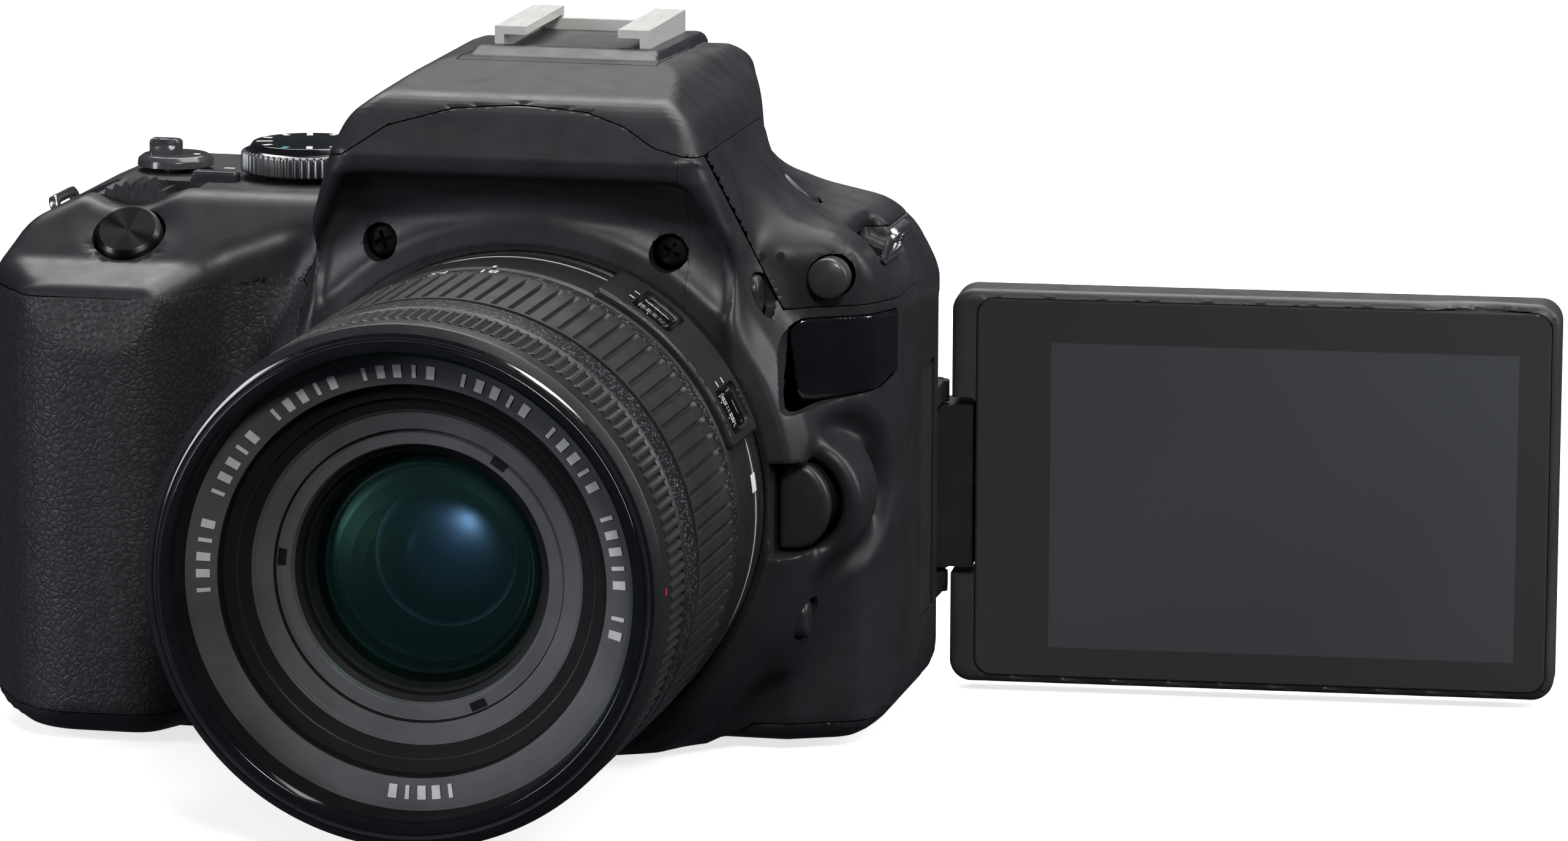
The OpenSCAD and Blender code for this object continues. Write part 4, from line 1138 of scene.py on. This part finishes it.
add_field("switch_panel", panel_field, (8, -48, 40), (36, -30, 72), 0.4, "lens_black", lens_plastic, "lens")
for name, angle, low, high in SWITCHES:
    add_field(name, lambda p: switch_field(p, angle), low, high, 0.2, "button_plastic", gloss_black)
for angle in (58.8, 32.3):
    for forward in (41.5, 38.5):
        name = f"switch_mark_{angle:.0f}_{forward:.0f}"
        on_ring(name, flat_bar(0.8, 0.4, 2), 34.25, angle, forward, "lens", mark_white)


# ---- turned controls ----
TEETH, TEETH_R, TEETH_DEPTH = 60, 8.9, 0.38


def upright_point(r, h, angle):
    return r * math.cos(angle), r * math.sin(angle), h


def toothed_point(r, h, angle):
    """The same, with the mode dial's teeth cut into its rim."""
    if r > TEETH_R:
        r -= TEETH_DEPTH * (0.5 + 0.5 * math.cos(angle * TEETH))
    return upright_point(r, h, angle)


def add_control(name, corners, place, materials, turn=Matrix(), count=96, where=upright_point):
    """Part turned about its own upright axis, in an object frame of its own at place."""
    obj = add_piece(name, turned_mesh(name, corners, count, where), materials)
    obj.matrix_world = Matrix.Translation(Vector(place) * MM) @ turn


def surface_at(spot):
    """Point of the body's surface nearest to spot, and the direction that the surface faces there."""
    spot = np.array([spot], float)
    for _ in range(6):
        slope = np.array([(outer_field(spot + d) - outer_field(spot - d))[0] for d in np.eye(3) * 0.05]) / 0.1
        slope /= np.linalg.norm(slope)
        spot = spot - outer_field(spot)[:, None] * slope
    return spot[0], slope


SHUTTER = ((0, 0.72, 0), (3.85, 0.98, 0.1), (4.35, 0.45, 0.1), (4.55, -1.2, 0), (2, -1.2, 0), (2, -6, 0),
           (0, -6, 0))
MODE = ((0, 4.15, 0), (7.7, 4.15, 0.3), (8.25, 3.3, 0.2), (8.7, 3.12, 0.1, 1), (9.15, 2.95, 0.2, 1),
        (9.3, 2.7, 0, 1), (9.3, 0.45, 0, 1), (9.0, 0.2, 0, 1), (2.5, 0.2, 0, 1), (2.5, -6, 0), (0, -6, 0))
POWER = ((0, 1.75, 0), (4.4, 1.75, 0.5), (5.1, 1.2, 0.3), (5.2, 0.3, 0), (2, 0.3, 0), (2, -6, 0), (0, -6, 0))
WIRELESS = ((0, 0.3, 0), (1.9, 0.42, 0.5), (2.6, 0.5, 0.2), (3.1, 0.1, 0.2), (3.15, -3, 0), (0, -3, 0))
add_control("shutter_button", SHUTTER, SHUTTER_AT, [spun_metal],
            Matrix.Rotation(SHUTTER_TILT, 4, "X"))
add_control("mode_dial", MODE, MODE_AT, [gloss_black, teeth_metal], count=480,
            where=toothed_point)
add_control("power_switch", POWER, SWITCH_AT, [dark_chrome])


# ---- moulded controls ----
def tab_field(p):
    """Raised finger tab of the power switch, hollowed on both sides."""
    q = near(p, SWITCH_AT)
    tab = box_field(q, (-3.5, -1.15, 0.8), (0.8, 1.15, 3.8), 0.5)
    tab = soft_max(tab, 0.55 * q[:, 0] + q[:, 2] - 4.2, 0.6)
    for side in (-1, 1):
        tab = soft_max(tab, -ball_field(q, (-1.4, side * 2.9, 3.0), (2.6, 2.2, 1.5)), 0.3)
    return tab


def iso_button(p):
    return box_field(near(p, ISO_AT), (-3.2, -1.2, -4), (3.2, 1.2, 0.9), 0.5)


def release_button(p):
    crown = 25.15 - 0.01 * ((p[:, 2] - RELEASE_AT[1]) ** 2) - 0.02 * (p[:, 0] - RELEASE_AT[0] + 1) ** 2
    return soft_max(soft_max(release_form(p), -p[:, 1] - crown, 1.1), p[:, 1] + 14, 0.2)


def oval_button(p, place, r, left, right):
    """Upright oval button that points along X."""
    x, y, z = near(p, place).T
    return soft_max(round_rect(y, z, 0, 0.6, r), np.maximum(left - x, x - right), 0.9)


def flash_button(p):
    return oval_button(p, (26, -21.2, 61), 2.2, -4, 4.4)


def preview_button(p):
    return oval_button(p, (33, -22, 18.4), 2.0, -3, 4.3)


def lamp_field(p):
    q = near(p, LAMP_AT)
    window = np.maximum(np.linalg.norm(q + [0, -4.2, 0], axis=1) - 5.9, q[:, 1] - 2)
    return soft_max(np.hypot(q[:, 0], q[:, 2]) - 2.7, window, 0.4)


def screw_field(p):
    """Two pan-head screws with a cross recess."""
    heads = []
    for k, (x, z) in enumerate(SCREW_SPOTS):
        q = near(p, (x, -24.5, z))
        turn = math.radians(20 + 40 * k)
        u = q[:, 0] * math.cos(turn) + q[:, 2] * math.sin(turn)
        v = q[:, 2] * math.cos(turn) - q[:, 0] * math.sin(turn)
        r = np.hypot(u, v)
        head = soft_max(r - 2.2, np.maximum(-q[:, 1] - 1.6 + 0.05 * r * r, q[:, 1] - 2), 0.4)
        bars = [np.maximum(np.abs(a) - 1.25, np.abs(b) - 0.27) for a, b in ((u, v), (v, u))]
        heads.append(cut(head, np.maximum(np.minimum(*bars), q[:, 1] + 0.3)))
    return np.minimum(*heads)


def lug_field(p):
    """Pressed steel strap loops at both shoulders."""
    loops = []
    for place, degrees, _, _, _ in LUGS:
        q = turned_about_y(p, place, degrees) - np.array((0, 0, 2.5))
        x, y, z = q.T
        rim = np.maximum(box_field(q, (-0.72, -5.2, -2.5), (0.72, 5.2, 2.5)), round_rect(y, z, 3.7, 1, 1.5))
        loops.append(soft_max(soft_max(rim, -round_rect(y, z, 2.7, 0.2, 1.0), 0.5), np.abs(x) - 0.7, 0.5))
    return np.minimum(*loops)


def eyecup_field(p):
    x, y, z = p.T
    outer = box_field(p, (-16.4, 29.65, 61), (16.4, 34.8, 82.4), 1.6)
    outer = soft_max(outer, round_rect(x, z - 71.7, 10.5, 4.8, 6), 0.8)
    opening = round_rect(x, z - 71.5, 6.2, 3, 3.8) - 0.32 * np.maximum(y - 30, 0)
    return soft_max(outer, -opening, 0.6)


add_field("power_tab", tab_field, (-62, 3, 70), (-54, 8, 76), 0.16, "gloss_black", dark_chrome,
          "power_switch")
add_field("iso_button", iso_button, (-53, -5, 66), (-44, -1, 73), 0.2, "button_plastic", button_black)
wireless_spot, wireless_up = surface_at(WIRELESS_AT)
add_control("wireless_button", WIRELESS, wireless_spot, [button_black],
            Vector(wireless_up).to_track_quat("Z", "Y").to_matrix().to_4x4())
# name, field, box that holds it, cell size, slot and material
SMALL_PARTS = (
    ("release_button", release_button, (31, -27, 26), (43, -13, 42), 0.3, "button_plastic", button_black),
    ("flash_button", flash_button, (21, -25, 57), (32, -18, 65), 0.22, "button_plastic", button_black),
    ("preview_button", preview_button, (29, -25, 14), (39, -19, 23), 0.22, "button_plastic", button_black),
    ("lamp_window", lamp_field, (35, -20, 59), (42, -14, 67), 0.2, "lamp", smoked),
    ("cover_screws", screw_field, (-22.4, -27, 64.4), (22.4, -21, 70.4), 0.17, "screw_black", screw_metal),
    ("strap_lugs", lug_field, (-78, -5, 60), (48, 15, 70), 0.22, "steel", lug_steel),
    ("eyecup", eyecup_field, (-18, 28, 59), (18, 36, 84), 0.45, "grip_rubber", soft_rubber),
)
for part in SMALL_PARTS:
    add_field(*part)

# ---- small holes, drawn as discs of painted shade, and marks on the body and the dials ----
MIC_HOLES = ((30.7, -20.2, 66.1), (32.6, -19.0, 66.0), (-31.2, -18.1, 67.9), (-28.8, -19.6, 68.2))
DIAL_TOP = (MODE_AT[0], MODE_AT[1], MODE_AT[2] + 4.17)
DECK = (MODE_AT[0], MODE_AT[1], 71.03)
POWER_DOT = (SWITCH_AT[0] + 3.0, SWITCH_AT[1], SWITCH_AT[2] + 1.77)


def hole_shade_disc(name, spot, r, corners=20):
    """Dark disc of painted shade on the body's surface, standing in for a hole that is too small for the
    covers' mesh.
    """
    spot, slope = surface_at(spot)
    side = np.cross(slope, (0, 0, 1))
    side /= np.linalg.norm(side)
    up = np.cross(side, slope)
    turns = [a * math.tau / corners for a in range(corners)]
    verts = [tuple(spot + slope * 0.03 + r * (side * math.cos(t) + up * math.sin(t))) for t in turns]
    add_piece(name, finish_mesh(name, verts, [tuple(range(corners))]), [inner_black])


def flat_mark(name, points, place, material, body=None):
    verts = [(place[0] + x, place[1] + y, place[2]) for x, y in points]
    add_piece(name, finish_mesh(name, verts, [tuple(range(len(verts)))]), [material], body)


def radial_box(angle, r0, r1, half):
    c, s = math.cos(math.radians(angle)), math.sin(math.radians(angle))
    return [(r * c - t * s, r * s + t * c) for r, t in ((r0, -half), (r1, -half), (r1, half), (r0, half))]


# microphone holes: dark discs of painted shade
for i, spot in enumerate(MIC_HOLES):
    hole_shade_disc(f"microphone_hole_{i}", spot, 0.55)
for i in range(12):
    length = 2.2 if i % 3 == 0 else 1.3
    flat_mark(f"mode_mark_{i:02d}", radial_box(15 + 30 * i, 7.2 - length, 7.2, 0.42), DIAL_TOP,
              mark_teal if i == 8 else mark_white, "mode_dial")
flat_mark("mode_index", radial_box(180, 10.5, 12.0, 0.35), DECK, mark_white)
flat_mark("power_dot", [(0.5 * math.cos(a * 0.52), 0.5 * math.sin(a * 0.52)) for a in range(12)], POWER_DOT,
          mark_white, "power_switch")

# ---- display ----
SWING_SHORT = math.radians(4)                   # the display stands this much short of straight out
GLASS_X, GLASS_Z = 89.3, 27.6                   # middle of its cover glass
GLASS_LOOPS = ((0, 26.1), (0, 25.15), (0.25, 24.92))    # inset and Y of its outlines, back to front
IMAGE = ((60.5, 5.6), (124.0, 5.6), (124.0, 47.9), (60.5, 47.9))


def about_hinge(x, y, angle):
    """X and Y turned about the display's upright hinge."""
    c, s = math.cos(angle), math.sin(angle)
    x, y = x - SWING_AT[0], y - SWING_AT[1]
    return SWING_AT[0] + x * c - y * s, SWING_AT[1] + x * s + y * c


def case_field(p):
    z = p[:, 2]
    x, y = about_hinge(p[:, 0], p[:, 1], -SWING_SHORT)
    q = np.stack([x, y, z], 1)
    plate = round_rect(x - 88.15, z - GLASS_Z, 38.35, 24.3, 3.0)
    out = soft_max(plate, np.maximum(24.9 - y, y - 32.9), 1.6)
    # shallow step round the glass, and a hollow for a fingertip at the far top corner
    step = np.maximum(round_rect(x - GLASS_X, z - GLASS_Z, 36.6, 23.8, 2.5), y - 26.2)
    out = soft_max(cut(out, step), -ball_field(q, (118.5, 23.4, 55.6), (8.5, 3.6, 2.0)), 0.8)
    neck = box_field(q, (45, 20, 15.3), (50.1, 40, 39.9), 0.6)
    return cut(out, neck, rod_field(q, (50, 28.9, GLASS_Z), (1, 0, 0), 1.6, 5.1))


def glass_outline(inset):
    w, h, r = 78 - 2 * inset, 52.4 - 2 * inset, 2.4 - inset
    return rounded([(-w / 2, -h / 2, r), (w / 2, -h / 2, r), (w / 2, h / 2, r), (-w / 2, h / 2, r)])


def screen_mesh(name):
    """Cover glass: three outlines, with the image as a face of its own in the front."""
    loops = [[(GLASS_X + x, y, GLASS_Z + z) for x, z in glass_outline(inset)] for inset, y in GLASS_LOOPS]
    front = GLASS_LOOPS[-1][1]
    image = [(x, front, z) for x, z in IMAGE]
    verts = [(*about_hinge(x, y, SWING_SHORT), z) for x, y, z in sum(loops, []) + image]
    n = len(loops[0])
    faces = [(a * n + i, a * n + (i + 1) % n, (a + 1) * n + (i + 1) % n, (a + 1) * n + i)
             for a in (0, 1) for i in range(n)]
    quarter = n // 4
    for side in range(4):
        after = (side + 1) % 4
        arc = [2 * n + side * quarter + i for i in range(quarter)]
        faces.append((*arc, 3 * n + side))
        faces.append((arc[-1], 2 * n + after * quarter, 3 * n + after, 3 * n + side))
    faces += [tuple(range(3 * n, 3 * n + 4)), tuple(range(n))]
    return finish_mesh(name, verts, faces, [0] * (len(faces) - 2) + [1, 0])


add_field("screen_case", case_field, (45, 22, -1), (131, 42, 57), 0.5, "body_plastic", case_black, "screen")
add_piece("screen_panel", screen_mesh("screen_panel"), [display_border, display_image],
          "screen")

# ---- finishes of the CAD pieces that stay ----
CAD_LOOKS = {
    body_black: ("base_cover", "battery_door", "screen_hinge"),
    soft_rubber: ("thumb_pad", "terminal_cover"),
    inner_black: ("mirror_box", "chassis", "iris_unit", "shutter_unit", "socket_block", "pentamirror"),
    button_black: ("menu_button", "info_button", "live_view_button", "playback_button", "cross_keys",
                   "set_button", "diopter_wheel", "door_latch"),
    teeth_metal: ("main_dial",),
    rail_steel: ("accessory_shoe",),
    mount_steel: ("mount_flange", "lens_bayonet", "tripod_socket", "lock_pin", "reflex_mirror"),
    front_coat: ("front_glass",),
    inner_coat: ("rear_glass", "image_sensor"),
    finder_glass: ("eyepiece_lens", "focusing_screen", "flash_window"),
    board_green: ("main_board",),
    cell_grey: ("battery",),
}
for material, nodes in CAD_LOOKS.items():
    for node in nodes:
        mesh = frame["nodes"][node].data
        mesh.materials.clear()
        mesh.materials.append(material)
        mesh.shade_smooth()
        mesh.set_sharp_from_angle(angle=math.radians(30))

# the shoe's floor is blackened, and only its rails are bright
SHOE_FLOOR_Z = 89.7
shoe = frame["nodes"]["accessory_shoe"].data
shoe.materials.append(case_black)
for face in shoe.polygons:
    face.material_index = int(face.center.z < SHOE_FLOOR_Z * MM)
